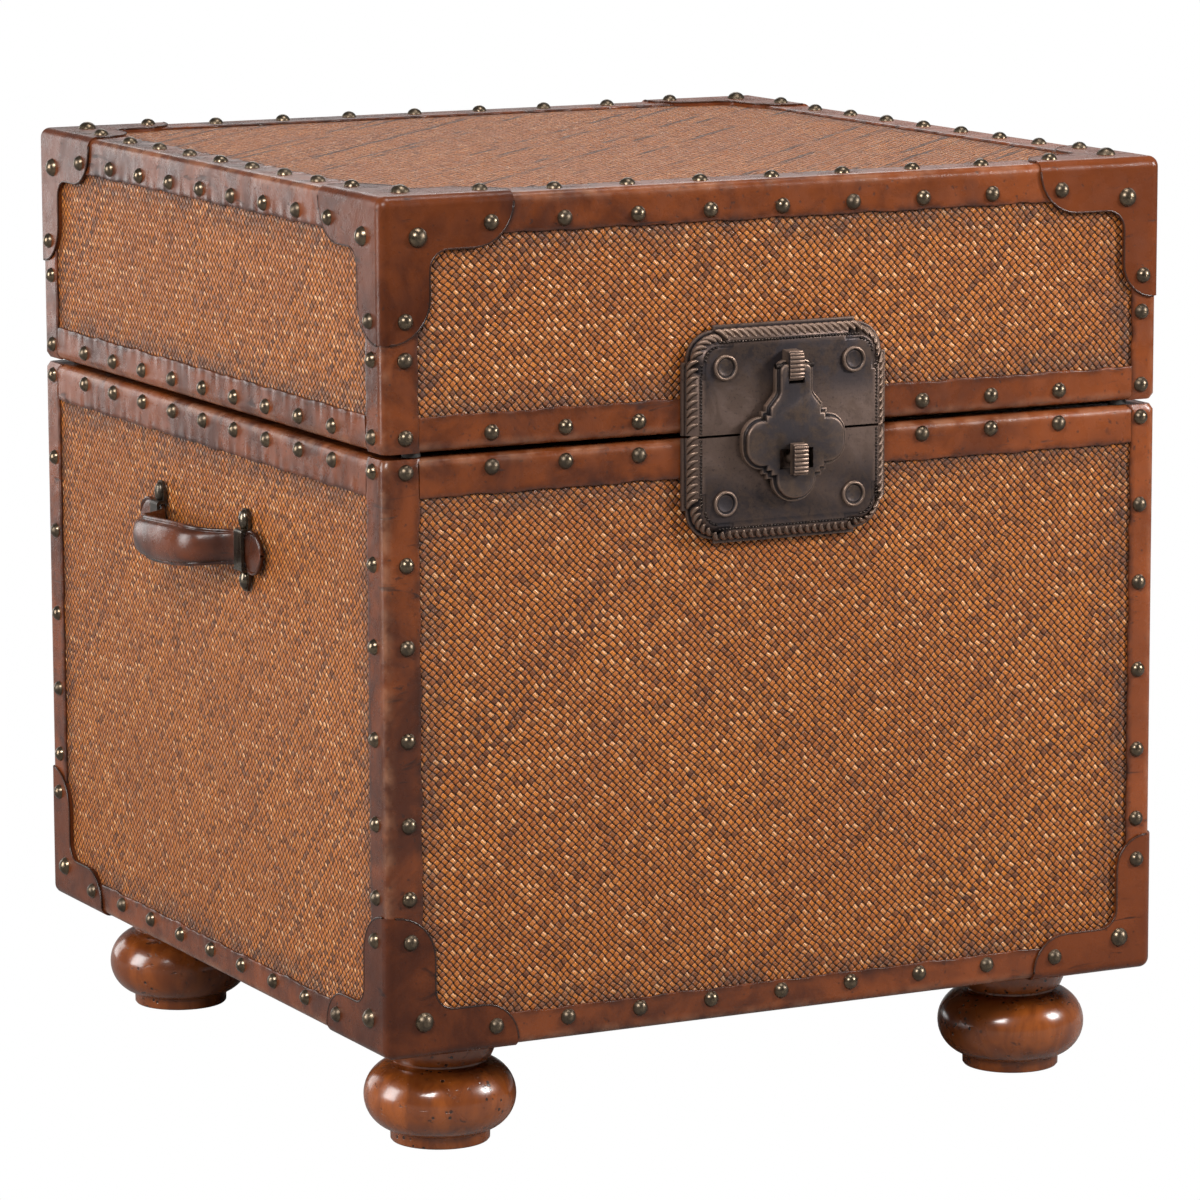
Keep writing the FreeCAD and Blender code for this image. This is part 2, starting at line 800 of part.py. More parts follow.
def handle_grip():
    """Strap and tails, drawn on u and v with its width along Z, centred on z = 0."""
    strap = prism(strap_outline(), strap_width)
    strap.translate(Vector(0, 0, -strap_width / 2))
    crown = [
        edge for edge in strap.Edges
        if abs(abs(edge.CenterOfMass.z) - strap_width / 2) < smallest_edge
        and edge.CenterOfMass.y > grip_reach - smallest_edge
    ]
    strap = strap.makeFillet(grip_edge_radius, crown)
    tails = []
    for sign in (-1, 1):
        middle = Vector(sign * (loop_spacing / 2 + tail_offset), strap_gap, 0)
        tails.append(rod(tail_radius, strap_thickness, middle, BACK))
    return strap.fuse(tails)


def handle_loop():
    """A hat-shaped band over the strap, with a pointed ear above and below, drawn on u and v."""
    inside = strap_width / 2 + loop_clearance
    outside = inside + loop_sheet
    clear = strap_gap + strap_thickness + loop_clearance
    reach = clear + loop_sheet
    band = prism([
        (-outside, 0),
        (-outside, reach, loop_bend_radius),
        (outside, reach, loop_bend_radius),
        (outside, 0),
        (inside, 0),
        (inside, clear),
        (-inside, clear),
        (-inside, 0),
    ], loop_width)
    band = placed(band, Vector(loop_width / 2, 0, 0), UP, BACK)
    ear_outline = [
        (-loop_width / 2, 0),
        (loop_width / 2, 0),
        (loop_width / 2, ear_length * ear_shoulder_share, loop_bend_radius),
        (ear_tip_half, ear_length, ear_tip_half * ear_tip_round_share),
        (-ear_tip_half, ear_length, ear_tip_half * ear_tip_round_share),
        (-loop_width / 2, ear_length * ear_shoulder_share, loop_bend_radius),
    ]
    ear = prism(ear_outline, loop_sheet)
    upper = placed(ear, Vector(0, loop_sheet, inside), RIGHT, UP)
    lower = placed(ear, Vector(0, 0, -inside), RIGHT, -UP)
    return band.fuse([upper, lower])


def ear_screw():
    """A round-headed screw through an ear, seated on z = 0."""
    head = nail(ear_screw_radius, ear_screw_height)
    above = box_between(-ear_screw_radius, ear_screw_radius, -ear_screw_radius, ear_screw_radius,
                        0, ear_screw_height)
    shank = rod(ear_screw_shank_radius, ear_screw_length, Vector(0, 0, -ear_screw_length), UP)
    return head.common(above).fuse(shank)


def on_side(shape, sign, u):
    """A handle shape moved to the left (-1) or right (1) face, u along the face."""
    origin = Vector(sign * half_width, sign * u, handle_z)
    return placed(shape, origin, BACK * sign, RIGHT * sign)


# Hinges, drawn about the pin with X along it, Y backwards and Z up


def knuckle_spans(for_base):
    pitch = hinge_length / hinge_knuckles
    start = 0 if for_base else 1
    return [
        (-hinge_length / 2 + i * pitch + hinge_knuckle_gap / 2,
         -hinge_length / 2 + (i + 1) * pitch - hinge_knuckle_gap / 2)
        for i in range(start, hinge_knuckles, 2)
    ]


def stop_bar(low_angle, high_angle, inner, x0, x1):
    """A bar along the hinge whose faces point at the pin."""
    points = []
    for angle, reach in ((low_angle, inner), (low_angle, hinge_stop_reach),
                         (high_angle, hinge_stop_reach), (high_angle, inner)):
        turn = math.radians(angle)
        points.append((reach * math.cos(turn), reach * math.sin(turn)))
    return placed(prism(points, x1 - x0), Vector(x0, 0, 0), BACK, UP)


def hinge_leaf_solid(for_base):
    """A leaf in the rim gap, with its knuckles, stop and sunk screw holes. The base's leaf grips the pin."""
    side = -1 if for_base else 1
    outer = rim_gap / 2
    z0, z1 = sorted((side * outer, side * (outer - hinge_leaf)))
    inner_edge = half_depth - hinge_leaf_depth - hinge_y
    clear = hinge_barrel_radius + hinge_turn_gap
    leaf = box_between(-hinge_length / 2, hinge_length / 2, inner_edge, -clear, z0, z1)
    first = hinge_stop_angle + (0 if for_base else hinge_stop_clearance_angle)
    low_angle, high_angle = sorted((side * first, side * (first + hinge_stop_spread)))
    pieces = [stop_bar(low_angle, high_angle, clear, -hinge_length / 2, hinge_length / 2)]
    bar_root = (hinge_pin_radius + hinge_barrel_radius) / 2
    for x0, x1 in knuckle_spans(for_base):
        pieces.append(box_between(x0, x1, -clear - hinge_turn_gap, 0, z0, z1))
        pieces.append(rod(hinge_barrel_radius, x1 - x0, Vector(x0, 0, 0), RIGHT))
        pieces.append(stop_bar(low_angle, high_angle, bar_root, x0, x1))
    bore_half = hinge_length / 2 + overrun
    bore_radius = hinge_pin_radius + (0 if for_base else pin_clearance)
    bore = rod(bore_radius, 2 * bore_half, Vector(-bore_half, 0, 0), RIGHT)
    return leaf.fuse(pieces).cut([bore] + hinge_screws(for_base)).removeSplitter()


def hinge_screws(for_base):
    """Flat-headed screws sunk flush in a leaf."""
    side = -1 if for_base else 1
    face = side * (rim_gap / 2 - hinge_leaf)
    y = half_depth - hinge_leaf_depth + hinge_screw_inset - hinge_y
    way = UP * side
    screws = []
    for i in range(hinge_screw_count):
        share = (2 * i + 1) / hinge_screw_count - 1
        x = share * hinge_length / 2
        seat = Vector(x, y, face)
        head = Part.makeCone(hinge_screw_head_radius, hinge_screw_radius, hinge_leaf, seat, way)
        screws.append(head.fuse(rod(hinge_screw_radius, hinge_screw_length, seat, way)))
    return screws


def on_hinges(shapes):
    """Copies of shapes drawn about a hinge pin, at both hinges."""
    copies = []
    for sign in (-1, 1):
        for shape in shapes:
            copy = shape.copy()
            copy.translate(Vector(sign * nail_pitch * hinge_pitches, hinge_y, split_z))
            copies.append(copy)
    return copies


# Building


def build_base():
    plate_low = base_bottom + cover_thickness
    panels = panels_of(base_bottom, base_top, plate_low, plate_low + floor_thickness)
    weaves = weaves_of(base_bottom, base_top)
    sheets = list(weaves.values())
    strips = strips_of(base_bottom, base_top, base_bottom_strip, base_bottom_flange, base_rim_strip,
                       False, sheets)
    flat = strips["end"] + strips["upright"] + strips["rim"]
    patches = patches_of(base_bottom, base_top, base_bottom_strip, base_bottom_flange, False, flat, sheets)
    places = foot_places()
    sleeve_holes = [
        rod(tee_nut_radius, floor_thickness + 2 * overrun, place + UP * (plate_low - overrun), UP)
        for place in places.values()
    ]
    export("base_bottom_panel", [panels.pop("plate").cut(sleeve_holes)])
    for name, panel in panels.items():
        export(f"base_{name}_panel", [panel])
    for name, sheet in weaves.items():
        export(f"base_{name}_weave", [sheet])
    export("base_bottom_trim", strips["end"])
    export("base_upright_trim", strips["upright"])
    export("base_rim_trim", strips["rim"])
    export("base_corner_patches", patches)
    small, large = base_nails()
    export("base_nails", small)
    export("base_corner_nails", large)
    bolts, nuts = [], []
    for name, place in places.items():
        for maker, group in ((foot_bolt, bolts), (tee_nut, nuts)):
            piece = maker()
            piece.translate(place)
            group.append(piece)
        standing = foot()
        standing.translate(place)
        export(f"foot_{name}", [standing])
    export("foot_bolts", bolts)
    export("foot_tee_nuts", nuts)


def build_lid():
    plate_high = lid_top - cover_thickness
    panels = panels_of(lid_bottom, lid_top, plate_high - top_thickness, plate_high)
    weaves = weaves_of(lid_bottom, lid_top)
    x = half_width - weave_margin
    y = half_depth - weave_margin
    weaves["top"] = box_between(-x, x, -y, y, plate_high, plate_high + weave_thickness)
    sheets = list(weaves.values())
    strips = strips_of(lid_bottom, lid_top, lid_top_strip, lid_top_flange, lid_rim_strip, True, sheets)
    flat = strips["end"] + strips["upright"] + strips["rim"]
    patches = patches_of(lid_bottom, lid_top, lid_top_strip, lid_top_flange, True, flat, sheets)
    export("lid_top_panel", [panels.pop("plate")])
    for name, panel in panels.items():
        export(f"lid_{name}_panel", [panel])
    for name, sheet in weaves.items():
        export(f"lid_{name}_weave", [sheet])
    export("lid_top_trim", strips["end"])
    export("lid_upright_trim", strips["upright"])
    export("lid_rim_trim", strips["rim"])
    export("lid_corner_patches", patches)
    small, large = lid_nails()
    export("lid_nails", small)
    export("lid_corner_nails", large)
    bumpers = []
    bumper_height = rim_gap - bumper_clearance
    for x_sign in (-1, 1):
        for y_sign in (-1, 1):
            place = Vector(x_sign * (inner_x - bumper_radius), y_sign * (inner_y + wall_thickness / 2),
                           lid_bottom - bumper_height)
            bumpers.append(rod(bumper_radius, bumper_height, place, UP))
    export("lid_bumpers", bumpers)


def build_latch():
    upper = half_plate()
    lower = mirrored(upper, BACK)
    knob_hole = rod(knob_shaft_radius + pin_clearance, plate_rise + 2 * overrun,
                    Vector(0, knob_z - split_z, -overrun), UP)
    rivets = {1: [], -1: []}
    for side, plate in ((1, upper), (-1, lower)):
        for sign in (-1, 1):
            fixing = rivet()
            fixing.translate(Vector(sign * rivet_spacing_x / 2, side * rivet_spacing_z / 2, plate_rise))
            rivets[side].append(fixing)
    export("latch_plate_upper", [on_front(upper.cut(rivets[1]), 0, split_z)])
    export("latch_plate_lower", [on_front(lower.cut(rivets[-1] + [knob_hole]), 0, split_z)])
    export("latch_rivets_upper", [on_front(fixing, 0, split_z) for fixing in rivets[1]])
    export("latch_rivets_lower", [on_front(fixing, 0, split_z) for fixing in rivets[-1]])
    export("hasp_knuckle", [on_front(knuckle(), pin_out, pin_z)])
    pin = rod(hasp_pin_radius, 2 * hasp_neck_half, Vector(-hasp_neck_half, 0, 0), RIGHT)
    export("hasp_pin", [on_front(pin, pin_out, pin_z)])
    export("hasp", [on_front(hasp(), pin_out, pin_z)])
    export("turn_knob", [on_front(turn_knob(), plate_rise, knob_z)])
    export("turn_knob_washer", [on_front(knob_washer(), plate_rise, knob_z)])


def build_handles():
    screws = []
    ear_place = strap_width / 2 + loop_clearance + ear_screw_place
    for side, sign in (("left", -1), ("right", 1)):
        export(f"handle_grip_{side}", [on_side(handle_grip(), sign, 0)])
        loops = []
        for u in (-loop_spacing / 2, loop_spacing / 2):
            loops.append(on_side(handle_loop(), sign, u))
            for rise in (-ear_place, ear_place):
                screw = placed(ear_screw(), Vector(0, loop_sheet, rise), RIGHT, -UP)
                screws.append(on_side(screw, sign, u))
        export(f"handle_loops_{side}", [loop.cut(screws) for loop in loops])
    export("handle_screws", screws)


def build_hinges():
    export("hinge_base_leaves", on_hinges([hinge_leaf_solid(True)]))
    export("hinge_lid_leaves", on_hinges([hinge_leaf_solid(False)]))
    export("hinge_screws_base", on_hinges(hinge_screws(True)))
    export("hinge_screws_lid", on_hinges(hinge_screws(False)))
    pin = rod(hinge_pin_radius, hinge_length, Vector(-hinge_length / 2, 0, 0), RIGHT)
    export("hinge_pins", on_hinges([pin]))


os.makedirs("parts", exist_ok=True)
build_base()
build_lid()
build_latch()
build_handles()
build_hinges()
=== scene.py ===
import math
from functools import partialmethod

import bmesh
import bpy
import numpy as np
from mathutils import Matrix, Vector


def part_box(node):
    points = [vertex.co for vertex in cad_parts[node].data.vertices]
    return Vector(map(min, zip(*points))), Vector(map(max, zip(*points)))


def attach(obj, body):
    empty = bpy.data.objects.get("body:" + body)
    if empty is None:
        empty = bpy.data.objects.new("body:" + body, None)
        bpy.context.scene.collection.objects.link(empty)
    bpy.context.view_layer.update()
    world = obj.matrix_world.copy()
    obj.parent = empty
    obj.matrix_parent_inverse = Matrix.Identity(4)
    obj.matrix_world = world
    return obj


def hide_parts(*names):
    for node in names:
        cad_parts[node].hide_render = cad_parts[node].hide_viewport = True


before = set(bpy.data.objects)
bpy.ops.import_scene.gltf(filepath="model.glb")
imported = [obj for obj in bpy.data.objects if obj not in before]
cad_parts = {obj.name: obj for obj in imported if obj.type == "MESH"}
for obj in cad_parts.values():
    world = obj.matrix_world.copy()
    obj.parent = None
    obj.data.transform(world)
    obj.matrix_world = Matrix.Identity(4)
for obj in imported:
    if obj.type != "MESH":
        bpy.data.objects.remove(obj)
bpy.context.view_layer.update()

MM = 0.001
X = Vector((1, 0, 0))
Y = Vector((0, 1, 0))
Z = Vector((0, 0, 1))

# The box of the trunk over its leather, in metres
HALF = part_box("base_rim_trim")[1][0]
MID_Y = sum(p[1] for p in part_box("base_bottom_panel")) / 2
BASE_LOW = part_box("base_bottom_trim")[0][2]
BASE_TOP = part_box("base_rim_trim")[1][2]
LID_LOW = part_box("lid_rim_trim")[0][2]
LID_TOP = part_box("lid_top_trim")[1][2]
SPLIT = (BASE_TOP + LID_LOW) / 2
FRONT = MID_Y - HALF
CENTRE = Vector((0, MID_Y, 0))

# Widths of the leather strips, and how far the woven sheets stay in from the box's edges
WIDE, NARROW = 0.025, 0.019
LID_RIM, TOP_FLANGE = 0.0225, 0.030
BOTTOM, BOTTOM_FLANGE = 0.021, 0.020
FOLD = 0.018
SHEET_INSET = 0.012


# Meshes


class Shape:
    """Vertices and faces gathered for one object."""

    def __init__(self, rings=None):
        self.verts = []
        self.faces = []
        if rings:
            self.loft(rings)

    def loft(self, rings):
        """Closed rings of equal length joined in order, with both ends capped."""
        start = len(self.verts)
        count = len(rings[0])
        for points in rings:
            self.verts += points
        for r in range(len(rings) - 1):
            here = start + r * count
            for i in range(count):
                j = (i + 1) % count
                self.faces.append((here + i, here + j, here + count + j, here + count + i))
        end = len(self.verts)
        self.faces.append(tuple(reversed(range(start, start + count))))
        self.faces.append(tuple(range(end - count, end)))


def scene_object(name, data):
    obj = bpy.data.objects.new(name, data)
    bpy.context.scene.collection.objects.link(obj)
    return obj


def piece(name, shape, body, material):
    """A smooth mesh object that rides on a body."""
    mesh = bpy.data.meshes.new(name)
    mesh.from_pydata([tuple(v) for v in shape.verts], [], shape.faces)
    mesh.validate()
    mesh.materials.append(material)
    editable = bmesh.new()
    editable.from_mesh(mesh)
    bmesh.ops.recalc_face_normals(editable, faces=editable.faces)
    editable.to_mesh(mesh)
    editable.free()
    mesh.polygons.foreach_set("use_smooth", [True] * len(mesh.polygons))
    obj = scene_object(name, mesh)
    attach(obj, body)
    return obj


def point_values(obj, name, values):
    """One number or vector per vertex, which the material reads by name."""
    values = np.asarray(values, dtype=np.float32)
    kind, key = ("FLOAT", "value") if values.ndim == 1 else ("FLOAT_VECTOR", "vector")
    layer = obj.data.attributes.new(name, kind, "POINT")
    layer.data.foreach_set(key, values.ravel())


def sharp_edges(obj, degrees):
    """Edges sharper than this stay crisp under smooth shading."""
    obj.data.set_sharp_from_angle(angle=math.radians(degrees))


def unit(vector):
    return vector / np.linalg.norm(vector)


def ring(middle, first, second, count):
    """Points round an ellipse with two half axes."""
    turns = [2 * math.pi * i / count for i in range(count)]
    return [middle + first * math.cos(turn) + second * math.sin(turn) for turn in turns]


def blob(shape, middle, axes, columns, rows):
    """A closed rounded lump with three half axes, the first from pole to pole."""
    first, second, third = axes
    least = 0.02
    rings = []
    for r in range(rows + 1):
        lift = math.pi * (r / rows - 0.5)
        reach = max(math.cos(lift), least)
        rings.append(ring(middle + first * math.sin(lift), second * reach, third * reach, columns))
    shape.loft(rings)


def lathe(shape, profile, origin, axis, count=40):
    """A turned form about an axis. The profile is (radius, height) in millimetres, from foot to crown."""
    side = axis.orthogonal().normalized()
    other = axis.cross(side)
    least = 0.05
    rings = []
    for radius, height in profile:
        reach = max(radius, least) * MM
        rings.append(ring(origin + axis * height * MM, side * reach, other * reach, count))
    shape.loft(rings)


def waves(places, seed, length):
    """A smooth uneven line through the places, about -1 to 1, with waves of about that length."""
    rng = np.random.default_rng(seed)
    usual_height = 2.2
    total = np.zeros(len(places))
    for share in (1.0, 0.61, 0.37, 0.23):
        phase = rng.uniform(0, 2 * math.pi)
        total += math.sqrt(share) * np.sin(np.asarray(places) * 2 * math.pi / (length * share) + phase)
    return total / usual_height


def rounded(points, steps):
    """A closed outline of (u, v) or (u, v, corner radius) with its corners rounded."""
    out = []
    count = len(points)
    for i, point in enumerate(points):
        here = np.array(point[:2], dtype=float)
        radius = point[2] if len(point) > 2 else 0
        if not radius:
            out.append(here)
            continue
        before = unit(np.array(points[i - 1][:2], dtype=float) - here)
        after = unit(np.array(points[(i + 1) % count][:2], dtype=float) - here)
        half = math.acos(np.clip(before @ after, -1, 1)) / 2
        reach = radius / math.tan(half)
        middle = here + unit(before + after) * radius / math.sin(half)
        start = here + before * reach - middle
        end = here + after * reach - middle
        turn = math.atan2(start[0] * end[1] - start[1] * end[0], start @ end)
        for k in range(steps + 1):
            cos, sin = math.cos(turn * k / steps), math.sin(turn * k / steps)
            out.append(middle + np.array([[cos, -sin], [sin, cos]]) @ start)
    return out


def inset_outline(points, inset):
    """A clockwise outline moved inwards by inset: corners stay mitred and their rounds stay concentric."""
    count = len(points)
    least_radius = 0.2
    flat = [np.array(p[:2], dtype=float) for p in points]
    out = []
    for i in range(count):
        before = unit(flat[i] - flat[i - 1])
        after = unit(flat[(i + 1) % count] - flat[i])
        first = np.array([before[1], -before[0]])
        second = np.array([after[1], -after[0]])
        moved = flat[i] + (first + second) * inset / (1 + first @ second)
        convex = before[0] * after[1] - before[1] * after[0] < 0
        radius = points[i][2] if len(points[i]) > 2 else 0
        if radius:
            radius = max(radius - inset, least_radius) if convex else radius + inset
        out.append((*moved, radius))
    return out


def mirrored_outline(half):
    """An outline from its right half, mirrored in the line u = 0."""
    return half + [(-p[0],) + p[1:] for p in reversed(half)]


def spline(points, steps):
    """A smooth line through rows of numbers."""
    rows = np.array(points, dtype=float)
    extended = np.vstack([2 * rows[0] - rows[1], rows, 2 * rows[-1] - rows[-2]])
    out = []
    for i in range(1, len(extended) - 2):
        a, b, c, d = extended[i - 1:i + 3]
        for k in range(steps):
            t = k / steps
            square, cube = 2 * a - 5 * b + 4 * c - d, 3 * b - a - 3 * c + d
            out.append(0.5 * (2 * b + (c - a) * t + square * t * t + cube * t ** 3))
    out.append(rows[-1])
    return np.array(out)


# Materials


class Nodes:
    """A short way to write a material's node tree."""

    SOCKETS = {"color": "Base Color", "roughness": "Roughness", "metallic": "Metallic", "normal": "Normal",
               "coat": "Coat Weight", "coat_roughness": "Coat Roughness", "shine": "Specular IOR Level"}

    def __init__(self, name):
        self.material = bpy.data.materials.new(name)
        self.material.use_nodes = True
        self.tree = self.material.node_tree
        self.shader = self.tree.nodes["Principled BSDF"]

    def new(self, kind, **values):
        node = self.tree.nodes.new(kind)
        for key, value in values.items():
            setattr(node, key, value)
        return node

    def link(self, source, target):
        self.tree.links.new(source, target)

    def put(self, value, socket):
        """Links an output to a socket, or sets a number or a colour there."""
        if hasattr(value, "is_output"):
            self.link(value, socket)
        else:
            socket.default_value = (*value, 1) if isinstance(value, tuple) else value

    def fill(self, node, values):
        """Puts values into a node's inputs in order and gives its first output."""
        for value, socket in zip(values, node.inputs):
            self.put(value, socket)
        return node.outputs[0]

    def math(self, operation, *values):
        return self.fill(self.new("ShaderNodeMath", operation=operation), values)

    plus = partialmethod(math, "ADD")
    minus = partialmethod(math, "SUBTRACT")
    times = partialmethod(math, "MULTIPLY")
    times_plus = partialmethod(math, "MULTIPLY_ADD")
    larger = partialmethod(math, "MAXIMUM")

    def combine(self, *values):
        return self.fill(self.new("ShaderNodeCombineXYZ"), values)

    def split(self, vector):
        node = self.new("ShaderNodeSeparateXYZ")
        self.link(vector, node.inputs[0])
        return node.outputs

    def mix(self, share, first, second):
        node = self.new("ShaderNodeMix", data_type="RGBA")
        self.put(share, node.inputs["Factor"])
        self.put(first, node.inputs[6])
        self.put(second, node.inputs[7])
        return node.outputs[2]

    def span(self, value, low, high, out_low=0.0, out_high=1.0, smooth=True):
        node = self.new("ShaderNodeMapRange", interpolation_type="SMOOTHSTEP" if smooth else "LINEAR")
        return self.fill(node, (value, low, high, out_low, out_high))

    def place(self):
        return self.new("ShaderNodeTexCoord").outputs["Object"]

    def noise(self, scale, detail=3.0, rough=0.55, where=None, stretch=None, distort=0.0, output="Fac"):
        where = where or self.place()
        if stretch:
            mapping = self.new("ShaderNodeMapping")
            mapping.inputs["Scale"].default_value = stretch
            self.link(where, mapping.inputs["Vector"])
            where = mapping.outputs[0]
        node = self.new("ShaderNodeTexNoise")
        self.link(where, node.inputs["Vector"])
        settings = {"Scale": scale, "Detail": detail, "Roughness": rough, "Distortion": distort}
        for key, value in settings.items():
            node.inputs[key].default_value = value
        return node.outputs[output]

    def chance(self, value, dimensions="3D"):
        """A number from 0 to 1 that belongs to each vector, or to each number with 1D."""
        node = self.new("ShaderNodeTexWhiteNoise", noise_dimensions=dimensions)
        self.link(value, node.inputs["W" if dimensions == "1D" else "Vector"])
        return node.outputs["Value"]

    def attribute(self, name, output="Fac"):
        return self.new("ShaderNodeAttribute", attribute_name=name).outputs[output]

    def bump(self, height, distance, strength):
        node = self.new("ShaderNodeBump")
        node.inputs["Strength"].default_value = strength
        node.inputs["Distance"].default_value = distance
        self.link(height, node.inputs["Height"])
        return node.outputs[0]

    def finish(self, **values):
        """Sets the surface's inputs by their short names and gives the material."""
        for key, value in values.items():
            self.put(value, self.shader.inputs[self.SOCKETS[key]])
        return self.material


def scaled(color, factor):
    return tuple(min(1, c * factor) for c in color)


def leather(name, light, dark, stain, shine=0.34):
    """Waxed leather: clouded, paler towards the right as painted light, with dark streaks, pits, fine grain
    and a soft shine.

    The mesh says where it is dirty (border) and where a painted highlight lies along the bends (ridge)."""
    # Tone of the painted highlight on the bends
    painted_highlight_tone = (0.36, 0.17, 0.095)
    n = Nodes(name)
    clouds = n.span(n.noise(17, 6, 0.65, distort=0.4), 0.38, 0.66)
    color = n.mix(clouds, light, dark)
    blotch = n.span(n.noise(42, 5, 0.65, distort=0.6), 0.5, 0.74)
    color = n.mix(n.times(blotch, 0.55), color, dark)
    # Painted light: the leather is made paler towards the right (+x), where more light falls.
    painted_light_right = n.span(n.split(n.place())[0], 0.02, 0.3, 0.0, 0.42)
    color = n.mix(painted_light_right, color, scaled(light, 2))
    streaks = n.span(n.noise(60, 4, 0.6, stretch=(0.35, 0.35, 1.6), distort=1.2), 0.62, 0.72)
    pits = n.span(n.noise(260, 2, 0.5), 0.66, 0.74)
    marks = n.larger(n.times(streaks, 0.75), n.times(pits, 0.6))
    color = n.mix(marks, color, stain)
    edge = n.times(n.attribute("border"), n.span(n.noise(90, 3), 0.25, 0.7))
    color = n.mix(n.times(edge, 0.85), color, stain)
    # Painted highlight: pale colour along the crown of each bend (ridge).
    wear_and_highlight = n.times(n.attribute("ridge"), n.span(n.noise(70, 3), 0.35, 0.7))
    color = n.mix(n.times(wear_and_highlight, 0.4), color, painted_highlight_tone)
    grain, waviness = n.noise(700, 4, 0.65), n.noise(45, 2)
    relief = n.plus(n.times(grain, 0.18), n.times(waviness, 0.9))
    relief = n.minus(relief, n.times(marks, 0.12))
    roughness = n.span(n.noise(55, 4), 0.3, 0.7, 0.19, 0.36, smooth=False)
    return n.finish(color=color, roughness=n.plus(roughness, n.times(marks, 0.15)),
                    normal=n.bump(relief, 0.0012, 0.55), shine=shine)


def weave(name, rows=0.0):
    """Plain weave of split cane on the bias: each crossing shows a rounded strand with fibres, painted shade
    in its gaps and at times a painted glint.

    The mesh says where a crossing is (cell) and where soot is (border). rows paints broken lines of shade one
    way, as of gaps where strands have parted."""
    golden, brown = (0.48, 0.146, 0.0145), (0.255, 0.065, 0.0073)
    pale, dark = (0.74, 0.34, 0.11), (0.03, 0.009, 0.0035)
    # The first tone here colours the painted highlight on the strands; the second is real soot.
    painted_highlight_tone, soot = (0.86, 0.6, 0.4), (0.045, 0.022, 0.016)
    n = Nodes(name)
    cell = n.attribute("cell", "Vector")
    shift = n.new("ShaderNodeVectorMath", operation="MULTIPLY_ADD")
    n.link(n.noise(0.17, 2.0, 0.5, where=cell, output="Color"), shift.inputs[0])
    shift.inputs[1].default_value = (1.3, 1.3, 0)
    n.link(cell, shift.inputs[2])
    u, v, _ = n.split(shift.outputs[0])
    u_index, v_index = n.math("FLOOR", u), n.math("FLOOR", v)
    u_place, v_place = (n.minus(n.math("FRACT", run), 0.5) for run in (u, v))

    def strand_height(run, index, place, flip, lift, width):
        """How high a strand stands: it rises and dips along its run and is rounded across its width."""
        turn = n.times(n.plus(n.minus(run, 0.5), index), math.pi)
        wave = n.span(n.math("COSINE", turn), -0.8, 0.8, -0.42 * flip, 0.42 * flip)
        edge = n.math("POWER", n.times(n.math("ABSOLUTE", place), 2.0 / width), 8.0)
        return n.plus(n.times_plus(edge, -0.62, wave), lift)

    first = strand_height(u, v_index, v_place, 1, 0.0, 0.86)
    second = strand_height(v, u_index, u_place, -1, 0.1, 0.78)
    over = n.math("GREATER_THAN", second, first)
    height = n.larger(first, second)

    def pick(one, other):
        """The value that belongs to the strand on top."""
        return n.times_plus(n.minus(other, one), over, one)

    def stretch_number(run, index, start):
        """Numbers the stretches of a strand between two dips."""
        odd = n.math("FLOORED_MODULO", index, 2.0)
        begun = n.plus(n.times_plus(odd, -2.0 * start, run), start)
        return n.math("FLOOR", n.times(begun, 0.5))

    strand = pick(v_index, u_index)
    stretch = pick(stretch_number(u, v_index, 0.5), stretch_number(v, u_index, -0.5))
    of_strand = n.chance(n.combine(strand, over))
    of_crossing = n.chance(n.combine(strand, stretch, over))
    along, across = pick(u_place, v_place), pick(v_place, u_place)
    fibre_place = n.combine(n.times(along, 1.2), n.times(across, 9.0), n.times(of_crossing, 40.0))
    fibres = n.noise(1.0, 2, 0.6, where=fibre_place)

    # Painted light: where the '\' family is on top (over) it is made lighter and the '/' family browner, here
    # and in the pale crossings below, as the '\' strands catch the light; the spread within each family is
    # the cane's own tone.
    strand_tone_and_lit_family = n.times_plus(over, -0.45, n.span(of_strand, 0.0, 1.0, 0.5, 1.0))
    color = n.mix(strand_tone_and_lit_family, golden, brown)
    color = n.mix(n.span(of_strand, 0.9, 0.97, 0.0, 0.6), color, dark)
    paled = n.times(n.span(of_crossing, 0.6, 1.0, 0.0, 0.45), n.times_plus(over, 0.7, 0.3))
    color = n.mix(paled, color, pale)
    color = n.mix(n.span(of_crossing, 0.22, 0.0, 0.0, 0.65), color, dark)
    color = n.mix(n.span(fibres, 0.42, 0.7, 0.0, 0.35), color, brown)
    color = n.mix(n.span(n.noise(9, 4, 0.6), 0.35, 0.7, 0.0, 0.35), color, brown)
    if rows:
        # Painted shade: broken dark rows, as of gaps where strands have parted.
        row_place = n.combine(n.times(u, 0.045), n.times(v_index, 7.3))
        broken = n.span(n.noise(1.0, 2, 0.5, where=row_place), 0.42, 0.56)
        row_gap_shade = n.times(n.span(n.chance(v_index, "1D"), 0.84, 0.88), broken)
        color = n.mix(n.times(row_gap_shade, rows), color, dark)
    # Painted highlight: a pale glint line along the '\' strands where they lie on top, on some crossings.
    ridge = n.times(n.span(n.math("ABSOLUTE", n.minus(u_place, 0.16)), 0.03, 0.13, 1.0, 0.0), over)
    wear_and_highlight = n.times(ridge, n.span(of_crossing, 0.7, 1.0, 0.0, 0.55))
    color = n.mix(wear_and_highlight, color, painted_highlight_tone)
